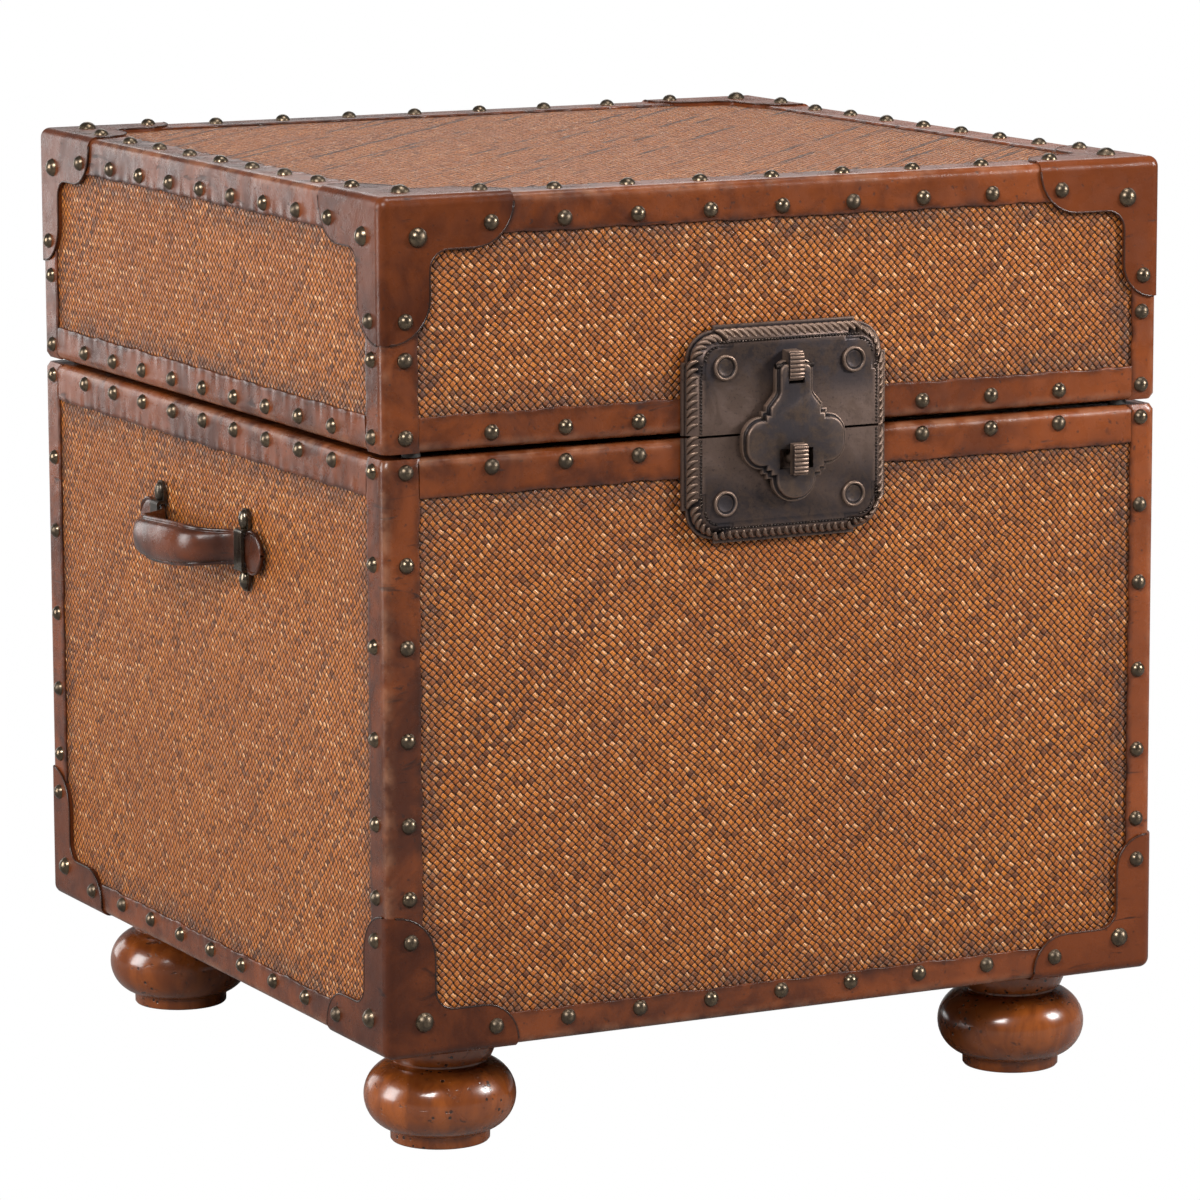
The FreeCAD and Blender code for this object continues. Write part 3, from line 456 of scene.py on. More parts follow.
    # Painted shade: dark lines where two strands meet and in the low gaps between strands.
    contact_shade = n.span(n.math("ABSOLUTE", n.minus(second, first)), 0.04, 0.4, 0.9, 0.0)
    gaps = n.larger(n.span(height, -0.2, 0.32, 1.0, 0.0), contact_shade)
    color = n.mix(gaps, color, dark)
    sooty = n.times(n.attribute("border"), n.span(n.noise(75, 4, 0.6), 0.32, 0.62))
    color = n.mix(n.times(sooty, 0.75), color, soot)
    relief = n.plus(height, n.times(fibres, 0.1))
    roughness = n.minus(n.span(of_crossing, 0.0, 1.0, 0.62, 0.46), n.times(over, 0.2))
    return n.finish(color=color, roughness=n.plus(roughness, n.times(gaps, 0.3)),
                    normal=n.bump(relief, 0.0024, 1.0), shine=0.36)


def wood(name, light, dark, grain_stretch, roughness, coat, wear_and_highlight):
    """Stained wood with grain along one way. Worn wood also has worm holes, dents and dark scratches."""
    n = Nodes(name)
    grain = n.noise(70, 5, 0.6, stretch=grain_stretch, distort=0.8)
    color = n.mix(n.span(grain, 0.3, 0.7), light, dark)
    color = n.mix(n.span(n.noise(16, 3), 0.4, 0.75, 0.0, 0.6), color, dark)
    relief = n.times(grain, 0.15)
    # In wood this flag adds wear only: worm holes and scratches.
    if wear_and_highlight:
        holes = n.new("ShaderNodeTexVoronoi", feature="F1")
        n.link(n.place(), holes.inputs["Vector"])
        holes.inputs["Scale"].default_value = 210
        cluster = n.span(n.noise(30, 2), 0.5, 0.58)
        worm = n.times(n.span(holes.outputs["Distance"], 0.27, 0.2), cluster)
        scratch = n.span(n.noise(52, 3, 0.6, stretch=(1, 1, 2.4), distort=2.2), 0.655, 0.7)
        marks = n.larger(worm, n.times(scratch, 0.7))
        color = n.mix(n.times(marks, 0.9), color, (0.012, 0.006, 0.004))
        relief = n.minus(relief, marks)
    uneven = n.span(n.noise(60, 3), 0.3, 0.7, roughness - 0.08, roughness + 0.08, smooth=False)
    return n.finish(color=color, roughness=uneven, normal=n.bump(relief, 0.0006, 0.6),
                    coat=coat, coat_roughness=0.1)


def metal(name, light, dark, roughness, rub, metallic=0.95):
    """Aged metal: clouded patina with fine specks and scratches. rub brightens what stands out."""
    n = Nodes(name)
    clouds = n.span(n.noise(48, 6, 0.7, distort=0.7), 0.42, 0.6)
    color = n.mix(clouds, light, dark)
    color = n.mix(n.span(n.noise(190, 5, 0.75), 0.4, 0.64, 0.0, 0.8), color, dark)
    if rub:
        point = n.new("ShaderNodeNewGeometry").outputs["Pointiness"]
        color = n.mix(n.times(n.span(point, 0.505, 0.56), rub), color, scaled(light, 2.6))
        color = n.mix(n.span(point, 0.495, 0.44, 0.0, 0.85), color, scaled(dark, 0.2))
    specks = n.span(n.noise(520, 3), 0.56, 0.72, 0.0, 0.55)
    color = n.mix(specks, color, scaled(dark, 0.6))
    scratches = n.noise(160, 3, 0.6, stretch=(0.2, 1, 2.5))
    relief = n.plus(n.times(n.noise(300, 3), 0.5), n.times(scratches, 0.3))
    uneven = n.span(clouds, 0.0, 1.0, roughness - 0.08, roughness + 0.1, smooth=False)
    return n.finish(color=color, roughness=uneven, metallic=metallic, normal=n.bump(relief, 0.0004, 0.4))


def rubber(name, light, dark):
    """Dull rubber with a fine grain."""
    n = Nodes(name)
    color = n.mix(n.span(n.noise(200, 3), 0.35, 0.7), dark, light)
    return n.finish(color=color, roughness=0.75, normal=n.bump(n.noise(600, 3), 0.0003, 0.4))


# Each starts with its tones: light, dark and, for leather, stains
STRAP = leather("strip_leather", (0.142, 0.033, 0.0072), (0.05, 0.0115, 0.0036), (0.01, 0.004, 0.003))
GRIP = leather("grip_leather", (0.1, 0.023, 0.0058), (0.03, 0.0072, 0.0028), (0.006, 0.003, 0.0025), 0.4)
PATCH = leather("patch_leather", (0.1, 0.0235, 0.006), (0.043, 0.0099, 0.0034), (0.01, 0.004, 0.003), 0.22)
# Near-black leather whose colour paints the shade line along the patches' edges
PATCH_EDGE_SHADE = leather("edge_shade_leather", (0.04, 0.0125, 0.0055), (0.016, 0.006, 0.0035), (0.006, 0.003, 0.0025))
CANE = weave("woven_cane")
TOP_CANE = weave("woven_cane_top", 0.8)
FOOT = wood("foot_wood", (0.25, 0.062, 0.009), (0.12, 0.027, 0.0045), (1, 1, 0.35), 0.24, 0.22, wear_and_highlight=True)
BOARD = wood("board_wood", (0.36, 0.2, 0.1), (0.22, 0.115, 0.055), (0.12, 1, 1), 0.5, 0.1, wear_and_highlight=False)
BRONZE = metal("aged_bronze", (0.088, 0.058, 0.042), (0.036, 0.029, 0.031), 0.45, 0.7, 0.75)
PLATE_BRONZE = metal("plate_bronze", (0.06, 0.039, 0.03), (0.025, 0.02, 0.0225), 0.47, 0.7, 0.75)
DARK_BRONZE = metal("dark_bronze", (0.062, 0.045, 0.036), (0.028, 0.022, 0.02), 0.36, 0)
HANDLE_BRONZE = metal("handle_bronze", (0.135, 0.108, 0.078), (0.05, 0.041, 0.033), 0.32, 0)
NAIL = metal("nail_brass", (0.115, 0.084, 0.054), (0.048, 0.037, 0.028), 0.33, 0.3)
STEEL = metal("bronzed_steel", (0.24, 0.2, 0.15), (0.13, 0.11, 0.09), 0.4, 0)
RUBBER = rubber("bumper_rubber", (0.045, 0.04, 0.035), (0.02, 0.017, 0.015))


# Woven sheets, in metres

PITCH = 0.00378
MESH_STEP = 0.006
SHEET_RIPPLE = 0.00012
SOOT_WIDTH = 0.02


def sheet(node, body, normal, right, material, side_strip, low_strip, high_strip):
    """A woven sheet in the place of a CAD one: a slightly uneven face, a back and thin edges.

    The cane is sooty beside the strips that lie over its edges, given by their widths."""
    low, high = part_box(node)
    up = normal.cross(right)
    middle = (low + high) / 2
    width, height, thick = (abs((high - low).dot(way)) for way in (right, up, normal))
    columns, rows = (max(2, round(length / MESH_STEP)) for length in (width, height))
    us = np.linspace(-width / 2, width / 2, columns + 1)
    vs = np.linspace(-height / 2, height / 2, rows + 1)
    diagonal, slant = PITCH * math.sqrt(2), 1.7
    shape, cells, border = Shape(), [], []
    for v in vs:
        ripple = waves(us + v * slant, seed=3, length=0.11) * waves([v], seed=5, length=0.19)[0]
        for u, rise in zip(us, ripple):
            lift = thick / 2 + SHEET_RIPPLE * rise
            shape.verts.append(middle + right * u + up * v + normal * lift)
            cells.append(((u + v) / diagonal, (u - v) / diagonal, 0))
            bare = min(width / 2 - abs(u) - side_strip, height / 2 + v - low_strip,
                       height / 2 - v - high_strip) + SHEET_INSET
            border.append(max(0.0, 1 - max(0.0, bare) / SOOT_WIDTH))
    front = len(shape.verts)
    step = columns + 1
    for j in range(rows):
        for i in range(columns):
            at = j * step + i
            shape.faces.append((at, at + 1, at + step + 1, at + step))
    rim = list(range(step)) + [j * step + columns for j in range(1, rows + 1)]
    rim += [rows * step + i for i in reversed(range(columns))] + [j * step for j in reversed(range(1, rows))]
    for index in rim:
        shape.verts.append(shape.verts[index] - normal * thick)
        cells.append(cells[index])
        border.append(1)
    count = len(rim)
    for k in range(count):
        following = (k + 1) % count
        shape.faces.append((rim[following], rim[k], front + k, front + following))
    shape.faces.append(tuple(front + k for k in reversed(range(count))))
    obj = piece(f"{node}_cane", shape, body, material)
    point_values(obj, "cell", cells)
    point_values(obj, "border", border)
    sharp_edges(obj, 40)
    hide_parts(node)


SIDES = {"front": (-Y, X), "back": (Y, -X), "left": (-X, -Y), "right": (X, Y)}
for side, (normal, right) in SIDES.items():
    sheet(f"base_{side}_weave", "base", normal, right, CANE, WIDE, BOTTOM, WIDE)
    sheet(f"lid_{side}_weave", "lid", normal, right, CANE, WIDE, LID_RIM, WIDE)
sheet("lid_top_weave", "lid", Z, X, TOP_CANE, TOP_FLANGE, TOP_FLANGE, TOP_FLANGE)


# Leather strips, in metres

ROUND = 0.0055
SKIN = 0.00175
STATION = 0.0035
WANDER = 0.0007
UNDER_PATCH = 0.045
TUCK = 0.0018
# Shares of a strip's width from its cut edge to the bend, and how far its pared edge drops there
SHARES = (1.0, 0.985, 0.95, 0.86, 0.7, 0.5, 0.3, 0.12)
PARED = {1.0: 0.0011, 0.985: 0.0003}


def strip_face(at, face, other, width, pucker):
    """Points across one face of a strip from its cut edge to the bend: (place, share of width, ridge)."""
    glued_share = 0.25
    out = []
    for share in SHARES:
        reach = ROUND + (width - ROUND) * share
        lift = pucker * max(0.0, share - glued_share) - PARED.get(share, 0)
        out.append((at + face * lift - other * reach, share, 0))
    return out


def strip(shape, extras, start, end, first, second, widths, seed, ripple, tuck=0.0):
    """A strip bent over a box edge from start to end, where it is drawn in over a round of radius tuck.

    first and second are the outward normals of its faces."""
    length = (end - start).length
    way = (end - start) / length
    places = np.linspace(0, length, max(8, round(length / STATION)) + 1)
    wander = (waves(places, seed, length=0.06), waves(places, seed + 1, length=0.05))
    pucker = (waves(places, seed + 2, length=0.015), waves(places, seed + 3, length=0.017))
    bend_steps, lap, clean_share = 6, 0.0002, 0.7
    rings = []
    for k, s in enumerate(places):
        at = start + way * s
        if length - s < tuck:
            at = at - (first + second) * (tuck - math.sqrt(max(0.0, tuck ** 2 - (tuck - length + s) ** 2)))
        width, depth = (widths[i] + wander[i][k] * WANDER for i in (0, 1))
        points = strip_face(at, first, second, width, ripple[0] * pucker[0][k])
        for q in range(bend_steps + 1):
            angle = math.pi / 2 * q / bend_steps
            bend = (first * math.cos(angle) + second * math.sin(angle) - first - second) * ROUND
            # The third number is highest on the bend's crown, where the leather carries its painted
            # highlight.
            points.append((at + bend, 0, 1 - abs(q - bend_steps / 2) / 4))
        points += reversed(strip_face(at, second, first, depth, ripple[1] * pucker[1][k]))
        points += [(at - first * (depth - lap) - second * SKIN, 1, 0),
                   (at - first * (ROUND + SKIN) - second * SKIN, 0, 0),
                   (at - first * SKIN - second * (ROUND + SKIN), 0, 0),
                   (at - first * SKIN - second * (width - lap), 1, 0)]
        rings.append([place for place, _, _ in points])
        extras += [(max(0.0, share - clean_share) / (1 - clean_share), ridge) for _, share, ridge in points]
    shape.loft(rings)


def trim(node, body, strips):
    """All strips of one kind on one box, in the place of the CAD strips."""
    shape, extras = Shape(), []
    for values in strips:
        strip(shape, extras, *values)
    obj = piece(f"{node}_leather", shape, body, STRAP)
    point_values(obj, "border", [e[0] for e in extras])
    point_values(obj, "ridge", [e[1] for e in extras])
    sharp_edges(obj, 50)
    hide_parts(node)


# The box's sides in the order front, back, left, right: normal, first corner, way along and pucker
CALM, LOOSE = (0.00014, 0.00014), (0.0008, 0.0008)
EDGES = [
    (-Y, CENTRE - Y * HALF - X * HALF, X, CALM),
    (Y, CENTRE + Y * HALF + X * HALF, -X, CALM),
    (-X, CENTRE - X * HALF + Y * HALF, -Y, LOOSE),
    (X, CENTRE + X * HALF - Y * HALF, Y, CALM),
]
# How far the strips stay from the first and last corner of each side
TO_PATCHES = [(UNDER_PATCH, UNDER_PATCH)] * 4
TO_UPRIGHTS = [(WIDE, NARROW), (NARROW, WIDE), (WIDE, WIDE), (WIDE, WIDE)]
# The box's corners: x side, y side, upright's width on the front or back and on the left or right
CORNERS = [(-1, -1, WIDE, WIDE), (1, -1, NARROW, WIDE), (-1, 1, WIDE, WIDE), (1, 1, NARROW, WIDE)]


def box_corner(x, y, height):
    return CENTRE + X * x * HALF + Y * y * HALF + Z * height


def along_edges(height, second, widths, gaps, seed):
    """Four strips round a box at one height."""
    out = []
    for i, ((normal, corner, way, ripple), (begin, stop)) in enumerate(zip(EDGES, gaps)):
        at = corner + Z * height
        ends = (at + way * begin, at + way * (2 * HALF - stop))
        out.append((*ends, normal, second, widths, seed + 10 * i, ripple))
    return out


def up_corners(patch_end, rim_end, seed):
    """Four strips up the corners of a box. The end at the rim is drawn in over its edge."""
    calm, loose = 0.0001, 0.0003
    out = []
    for i, (x, y, across, beside) in enumerate(CORNERS):
        ends = (box_corner(x, y, patch_end), box_corner(x, y, rim_end))
        ripple = (calm, loose if x < 0 else calm)
        out.append((*ends, Y * y, X * x, (across, beside), seed + 10 * i, ripple, TUCK))
    return out


trim("lid_top_trim", "lid", along_edges(LID_TOP, Z, (WIDE, TOP_FLANGE), TO_PATCHES, 100))
trim("lid_rim_trim", "lid", along_edges(LID_LOW, -Z, (LID_RIM, FOLD), TO_UPRIGHTS, 200))
trim("lid_upright_trim", "lid", up_corners(LID_TOP - UNDER_PATCH, LID_LOW, 300))
trim("base_rim_trim", "base", along_edges(BASE_TOP, Z, (WIDE, FOLD), TO_UPRIGHTS, 400))
trim("base_bottom_trim", "base", along_edges(BASE_LOW, -Z, (BOTTOM, BOTTOM_FLANGE), TO_PATCHES, 500))
trim("base_upright_trim", "base", up_corners(BASE_LOW + UNDER_PATCH, BASE_TOP, 600))


def rim_corners(name, body, height, up):
    """Leather over a rim's four corners, between the ends of the strips. Distances are millimetres."""
    shape = Shape()
    edge, lap, fold = 2.0, 0.8, FOLD / MM
    outer_round, inner_round = 4.5, 0.8
    under, over = 2.0, 0.25
    for x, y, across, beside in CORNERS:
        corner = box_corner(x, y, height)
        long, wide = across / MM + lap, beside / MM + lap
        outline = rounded([(edge, edge, outer_round), (long, edge), (long, fold), (fold, fold, inner_round),
                           (fold, wide), (edge, wide)], 6)
        shape.loft([[corner - (X * x * p[0] + Y * y * p[1] + up * depth) * MM for p in outline]
                    for depth in (under, over)])
    obj = piece(name, shape, body, STRAP)
    sharp_edges(obj, 40)


rim_corners("lid_rim_corners", "lid", LID_LOW, -Z)
rim_corners("base_rim_corners", "base", BASE_TOP, Z)


# Raised edges of the corner patches in near-black leather, whose colour paints the shade line along each
# patch's edge; in millimetres from the box's corner

PATCH_LENGTH = 90
PATCH_LAP = 7.5


def seam(shape, corner, along, up, normal, low_strip, side_strip):
    """A thin rolled edge round a patch on one face, from the end of one arm to the end of the other."""
    past, end_gap, inner_round, arm_round = 6, 6.5, 13, 0.85
    radius, lift = 0.75, 1.0
    low_band, side_band = low_strip / MM + PATCH_LAP, side_strip / MM + PATCH_LAP
    points = rounded([(-past, -past), (PATCH_LENGTH, -past), (PATCH_LENGTH, low_band, low_band * arm_round),
                      (side_band, low_band, inner_round), (side_band, PATCH_LENGTH, side_band * arm_round),
                      (-past, PATCH_LENGTH)], 8)[1:]
    points[0], points[-1] = (PATCH_LENGTH, end_gap), (end_gap, PATCH_LENGTH)
    path = [corner + (along * p[0] + up * p[1] + normal * lift) * MM for p in points]
    rings = []
    for i, at in enumerate(path):
        forward = (path[min(i + 1, len(path) - 1)] - path[max(i - 1, 0)]).normalized()
        rings.append(ring(at, normal.cross(forward) * radius * MM, normal * radius * MM, 8))
    shape.loft(rings)


def seams(name, body, height, up, strip_width, flange=None):
    """The rolled edges of a box's four patches, also on its top where the strips have a flange."""
    shape = Shape()
    for x, y, across, beside in CORNERS:
        corner = box_corner(x, y, height)
        seam(shape, corner, -X * x, -up, Y * y, strip_width, across)
        seam(shape, corner, -Y * y, -up, X * x, strip_width, beside)
        if flange:
            seam(shape, corner, -X * x, -Y * y, up, flange, flange)
    # These raised edges are a real lip; their near-black colour is painted shade along the patch's edge.
    obj = piece(name, shape, body, PATCH_EDGE_SHADE)


seams("lid_patch_edges", "lid", LID_TOP, Z, WIDE, TOP_FLANGE)
seams("base_patch_edges", "base", BASE_LOW, -Z, BOTTOM)


# Turned feet, in metres


def foot_profile():
    """(radius, height) of the bun foot from the pad's middle up and over to the seat's middle."""
    low, high, edge, widest = 0.0086, 0.0516, 0.034, 0.049
    neck, neck_low, seat, seat_low = 0.0329, 0.0548, 0.0385, 0.0736
    points = [(0, 0), (0.0295, 0), (0.0312, 0.0004), (0.032, 0.0014), (0.0321, 0.0072), (0.0325, 0.0081)]
    reach = widest - edge
    half = (high - low) / 2
    dome = (half ** 2 + reach ** 2) / (2 * reach)
    sweep = math.asin(half / dome)
    for angle in np.linspace(-sweep, sweep, 23):
        points.append((widest - dome + dome * math.cos(angle), low + half + dome * math.sin(angle)))
    points += [(0.0318, 0.0519), (0.0302, 0.0526), (0.0302, 0.0538), (0.0315, 0.0545), (neck, neck_low)]
    for share in np.linspace(0, 1, 9)[1:]:
        flare = math.sin(share * math.pi / 2)
        points.append((neck + (seat - neck) * flare, neck_low + (seat_low - neck_low) * share))
    return points + [(seat, 0.0764), (0, 0.0764)]


def foot(name):
    """A bun foot in the place of the CAD one."""
    low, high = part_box(name)
    middle = (low + high) / 2
    least = 0.0004
    rings = []
    for radius, z in foot_profile():
        reach = max(radius, least)
        rings.append(ring(Vector((middle.x, middle.y, z)), X * reach, Y * reach, 96))
    obj = piece(f"{name}_turned", Shape(rings), "base", FOOT)
    sharp_edges(obj, 48)
    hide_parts(name)


for place in ("front_left", "front_right", "back_left", "back_right"):
    foot(f"foot_{place}")


# Latch: lengths here are millimetres on u (along X), v (up from the rim gap) and w (off the leather)

FIELD = 9.5
PLATE_SIDE, PLATE_TOP = 73.5, 69.5
PLATE_CORNER_U, PLATE_CORNER_V, PLATE_ROUND = 51.0, 47.0, 19.5
HALF_GAP = 0.8
# (inset, height) across the plate's edge: flat lip, slope, fine groove and field
PLATE_PROFILE = [(0.6, 0), (0, 0.5), (0, 1.9), (0.25, 2.35), (0.7, 2.5), (2.0, 2.5), (2.5, 2.3), (2.9, 2.9),
                 (4.5, 4.6), (6.5, 6.7), (8.5, 8.9), (8.9, 9.1), (9.5, 9.1), (9.9, 9.1), (10.6, 9.15),
                 (10.9, 9.4), (11.3, FIELD)]


def on_latch(u, v, w):
    return Vector((u * MM, FRONT - w * MM, SPLIT + v * MM))


def raised(outline, profile, v, w):
    """A form on the latch: an outline inset and raised step by step along a profile."""
    return Shape([[on_latch(p[0], v + p[1], w + height) for p in rounded(inset_outline(outline, inset), 9)]
                  for inset, height in profile])


def cut(obj, low, high):
    """Takes the box between two corners out of a mesh."""
    maker = bmesh.new()
    bmesh.ops.create_cube(maker, size=1)
    for vert in maker.verts:
        vert.co = Vector((low[i] if vert.co[i] < 0 else high[i]) for i in range(3))
    mesh = bpy.data.meshes.new("cutter")
    maker.to_mesh(mesh)
    maker.free()
    cutter = scene_object("cutter", mesh)
    modifier = obj.modifiers.new("cut", "BOOLEAN")
    modifier.object = cutter
    modifier.operation = "DIFFERENCE"
    modifier.solver = "EXACT"
    bpy.context.view_layer.update()
    result = bpy.data.meshes.new_from_object(obj.evaluated_get(bpy.context.evaluated_depsgraph_get()))
    obj.modifiers.clear()
    obj.data = result
    bpy.data.objects.remove(cutter)


def plate_half(node, body, upper):
    """One half of the latch plate, cut off at the rim gap."""
    step_u, step_v = PLATE_CORNER_U + PLATE_ROUND, PLATE_CORNER_V + PLATE_ROUND
    quarter = [(PLATE_CORNER_U, PLATE_TOP), (PLATE_CORNER_U, step_v), (step_u, step_v, PLATE_ROUND - 0.1),
               (step_u, PLATE_CORNER_V), (PLATE_SIDE, PLATE_CORNER_V)]
    outline = mirrored_outline(quarter + [(p[0], -p[1]) + p[2:] for p in reversed(quarter)])
    obj = piece(f"{node}_shaped", raised(outline, PLATE_PROFILE, 0, 0), body, PLATE_BRONZE)
    far, deep = 90, 30
    low, high = (-far, HALF_GAP) if upper else (-HALF_GAP, far)
    cut(obj, on_latch(-far, low, deep), on_latch(far, high, -deep))
    sharp_edges(obj, 38)
    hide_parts(node)


plate_half("latch_plate_upper", "lid", True)
plate_half("latch_plate_lower", "base", False)


def border_runs(inset, upper):
    """Stretches of a half plate's border, counterclockwise: (length, place and direction at a distance)."""
    side, top, radius = PLATE_SIDE - inset, PLATE_TOP - inset, PLATE_ROUND - inset
    low, high = 1.6, PLATE_CORNER_V - 0.5

    def line(start, end):
        start, end = np.array(start), np.array(end)
        way = unit(end - start)
        return np.linalg.norm(end - start), lambda s: (start + way * s, way)

    def arc(middle_u, begin):
        def at(s):
            cos, sin = math.cos(begin + s / radius), math.sin(begin + s / radius)
            middle = np.array([middle_u, PLATE_CORNER_V])
            return middle + radius * np.array([cos, sin]), np.array([-sin, cos])
        return radius * math.pi / 2, at

    runs = [line((side, low), (side, high)), arc(PLATE_CORNER_U, 0),
            line((PLATE_CORNER_U, top), (-PLATE_CORNER_U, top)), arc(-PLATE_CORNER_U, math.pi / 2),
            line((-side, high), (-side, low))]
    if upper:
        return runs
    return [(length, lambda s, at=at: tuple(-value for value in at(s))) for length, at in runs]


def border_lobe(shape, place, way):
    """One lobe of the rope: a tapered curl that climbs the slope against the way of the border."""
    rise, run = 0.733, 0.681
    foot_w, proud, start_up, back_reach, climb = 3.0, 0.1, 0.7, 6.0, 7.2
    half_width, half_height, blunt, steps = 1.75, 2.0, 0.03, 10
    off = -Y
    back = -Vector((way[0], 0, way[1]))
    out = Vector((way[1], 0, -way[0]))
    slope = (off * rise - out * run).normalized()
    normal = (off * run + out * rise).normalized()
    start = on_latch(*place, foot_w) + normal * proud * MM
    rings = []
    for q in range(steps + 1):
        share = q / steps
        cos, sin = math.cos(math.pi / 2 * share), math.sin(math.pi / 2 * share)
        middle = start + (back * back_reach * sin + slope * (start_up + climb * (1 - cos))) * MM
        forward = (back * back_reach * cos + slope * climb * sin).normalized()
        fat = math.sin(math.pi * min(max(share, blunt), 1 - blunt)) ** 0.5 * MM
        rings.append(ring(middle, normal.cross(forward) * half_width * fat, normal * half_height * fat, 8))
    shape.loft(rings)


def along_border(inset, upper, step, first):
    """Places and directions at even steps along a half plate's border."""
    for length, at in border_runs(inset, upper):
        count = max(2, round(length / step))
        for k in range(count):
            yield at(length * (k + first) / count)


def rope_border(half, upper, body):
    """Twisted lobes along the sloping border of a half plate, and a row of small beads inside it."""
    lobes, beads = Shape(), Shape()
    bead = (X * 0.85 * MM, Y * 0.7 * MM, Z * 0.85 * MM)
    for place, way in along_border(2.9, upper, step=5.1, first=0.85):
        border_lobe(lobes, place, way)
    for place, _ in along_border(10.1, upper, step=2.3, first=0.5):
        blob(beads, on_latch(*place, FIELD), bead, 8, 4)
    for name, shape, material in (("border", lobes, BRONZE), ("beads", beads, DARK_BRONZE)):
        obj = piece(f"latch_{name}_{half}", shape, body, material)


rope_border("upper", True, "lid")
rope_border("lower", False, "base")

RIVET_U, RIVET_V = 46.25, 43.25
# (radius, height) of a ringed fixing from its foot over the ring to the middle of its sunk centre
EYELET = [(2, -4), (8.0, -0.6), (8.4, 0.2), (8.35, 1.0), (8.0, 1.7), (7.4, 2.1), (6.8, 2.0), (6.35, 1.5),
          (6.1, 0.7), (5.9, 0.35), (5.5, 0.6), (5.0, 0.65), (4.5, 0.5), (3.7, 0.3), (2.4, 0.12), (1.0, 0.06),
          (0, 0.05)]


def eyelets(node, body, v):
    """A pair of ringed fixings."""
    shape = Shape()
    for u in (-RIVET_U, RIVET_U):
        lathe(shape, EYELET, on_latch(u, v, FIELD), -Y)
    obj = piece(f"{node}_ringed", shape, body, BRONZE)
    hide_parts(node)


eyelets("latch_rivets_upper", "lid", RIVET_V)
eyelets("latch_rivets_lower", "base", -RIVET_V)

PIN_V, KNOB_V = 42.7, -16.3
HASP_BACK = 12.0
# Right half of the hasp's outline from the pin down, as (u, v from the pin, corner radius)
HASP_HALF = [
    (13.5, 3.5, 7.0), (13.5, -17.0, 6.0), (20.5, -25.0), (20.5, -28.2), (23.7, -28.2), (23.7, -31.4),
    (37.5, -31.4, 13.7), (37.5, -65.0, 14.4), (23.0, -65.0), (23.0, -68.2), (19.8, -68.2), (19.8, -71.4),
    (16.0, -71.4), (16.0, -87.0, 15.4),
]
# (inset, height) across the hasp's edge, from its back over the rim and the step to the face
HASP_PROFILE = [(0.5, 0), (0.0, 0.5), (0.0, 2.9), (0.3, 3.5), (0.9, 3.75), (1.7, 3.6), (2.1, 3.9), (2.3, 5.2),
                (2.6, 6.2), (3.2, 6.8), (4.0, 7.0)]


def hasp():
    """The hasp: a raised face inside a stepped, bevelled rim, forked at the pin and slotted for the knob."""
    shape = raised(mirrored_outline(HASP_HALF), HASP_PROFILE, PIN_V, HASP_BACK)
    obj = piece("hasp_bevelled", shape, "hasp", BRONZE)
    behind, before = HASP_BACK - 3, HASP_BACK + 10
    fork, slot = (5.7, PIN_V - 11.2, PIN_V + 6), (12.0, KNOB_V - 6.5, KNOB_V + 6.5)
    for reach, low, high in (fork, slot):
        cut(obj, on_latch(-reach, low, before), on_latch(reach, high, behind))
    sharp_edges(obj, 32)
    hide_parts("hasp")


hasp()


def ribbed_block(node, body, v, width, height, low, high, corner):
    """A block from low to high off the leather, with rounded ends and rounded ribs across its front."""
    ribs, rib_steps, depth = 9, 10, 0.75
    half = height / 2
    arc = corner * math.pi / 2
    total = height - 2 * corner + 2 * arc
    samples = ribs * rib_steps
    profile = [(low, -half, 0, -1)]
    for k in range(samples + 1):
        s = total * k / samples
        if s < arc:
            angle, middle = -math.pi / 2 + s / corner, corner - half
        elif s > total - arc:
            angle, middle = (s - total + arc) / corner, half - corner
        else:
            angle, middle = 0, corner - half + s - arc
        cos, sin = math.cos(angle), math.sin(angle)
        reach = corner - depth * (1 - abs(math.sin(math.pi * ribs * k / samples)) ** 0.7)
        profile.append((high - corner + reach * cos, middle + reach * sin, cos, sin))
    profile.append((low, half, 0, 1))
    bevel = [(0, 0.7), (0.15, 0.3), (0.6, 0)]
    stations = [(-width / 2 + along, inset) for along, inset in bevel]
    stations += [(-u, inset) for u, inset in reversed(stations)]
    shape = Shape([[on_latch(u, v + up - inset * sin, w - inset * cos) for w, up, cos, sin in profile]
                   for u, inset in stations])
    obj = piece(f"{node}_ribbed", shape, body, BRONZE)
    sharp_edges(obj, 55)
    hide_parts(node)


def knob_shaft():
    """The round shaft of the turn knob, from behind the plate into the ribbed head."""
    radius, back, reach = 4.2, -3.9, 10.4
    shape = Shape()
    lathe(shape, [(radius, back), (radius, 0), (radius, reach)], on_latch(0, KNOB_V, FIELD), -Y, 32)
    obj = piece("turn_knob_shaft", shape, "knob", BRONZE)
    sharp_edges(obj, 40)


ribbed_block("hasp_knuckle", "lid", PIN_V, width=10.4, height=19.4, low=FIELD, high=20.5, corner=4.0)
knob_shaft()
ribbed_block("turn_knob", "knob", KNOB_V, width=10.3, height=20.5, low=19.8, high=26.2, corner=3.0)


# Strap handles, in millimetres: y runs along the strap from its middle, out is off the side face

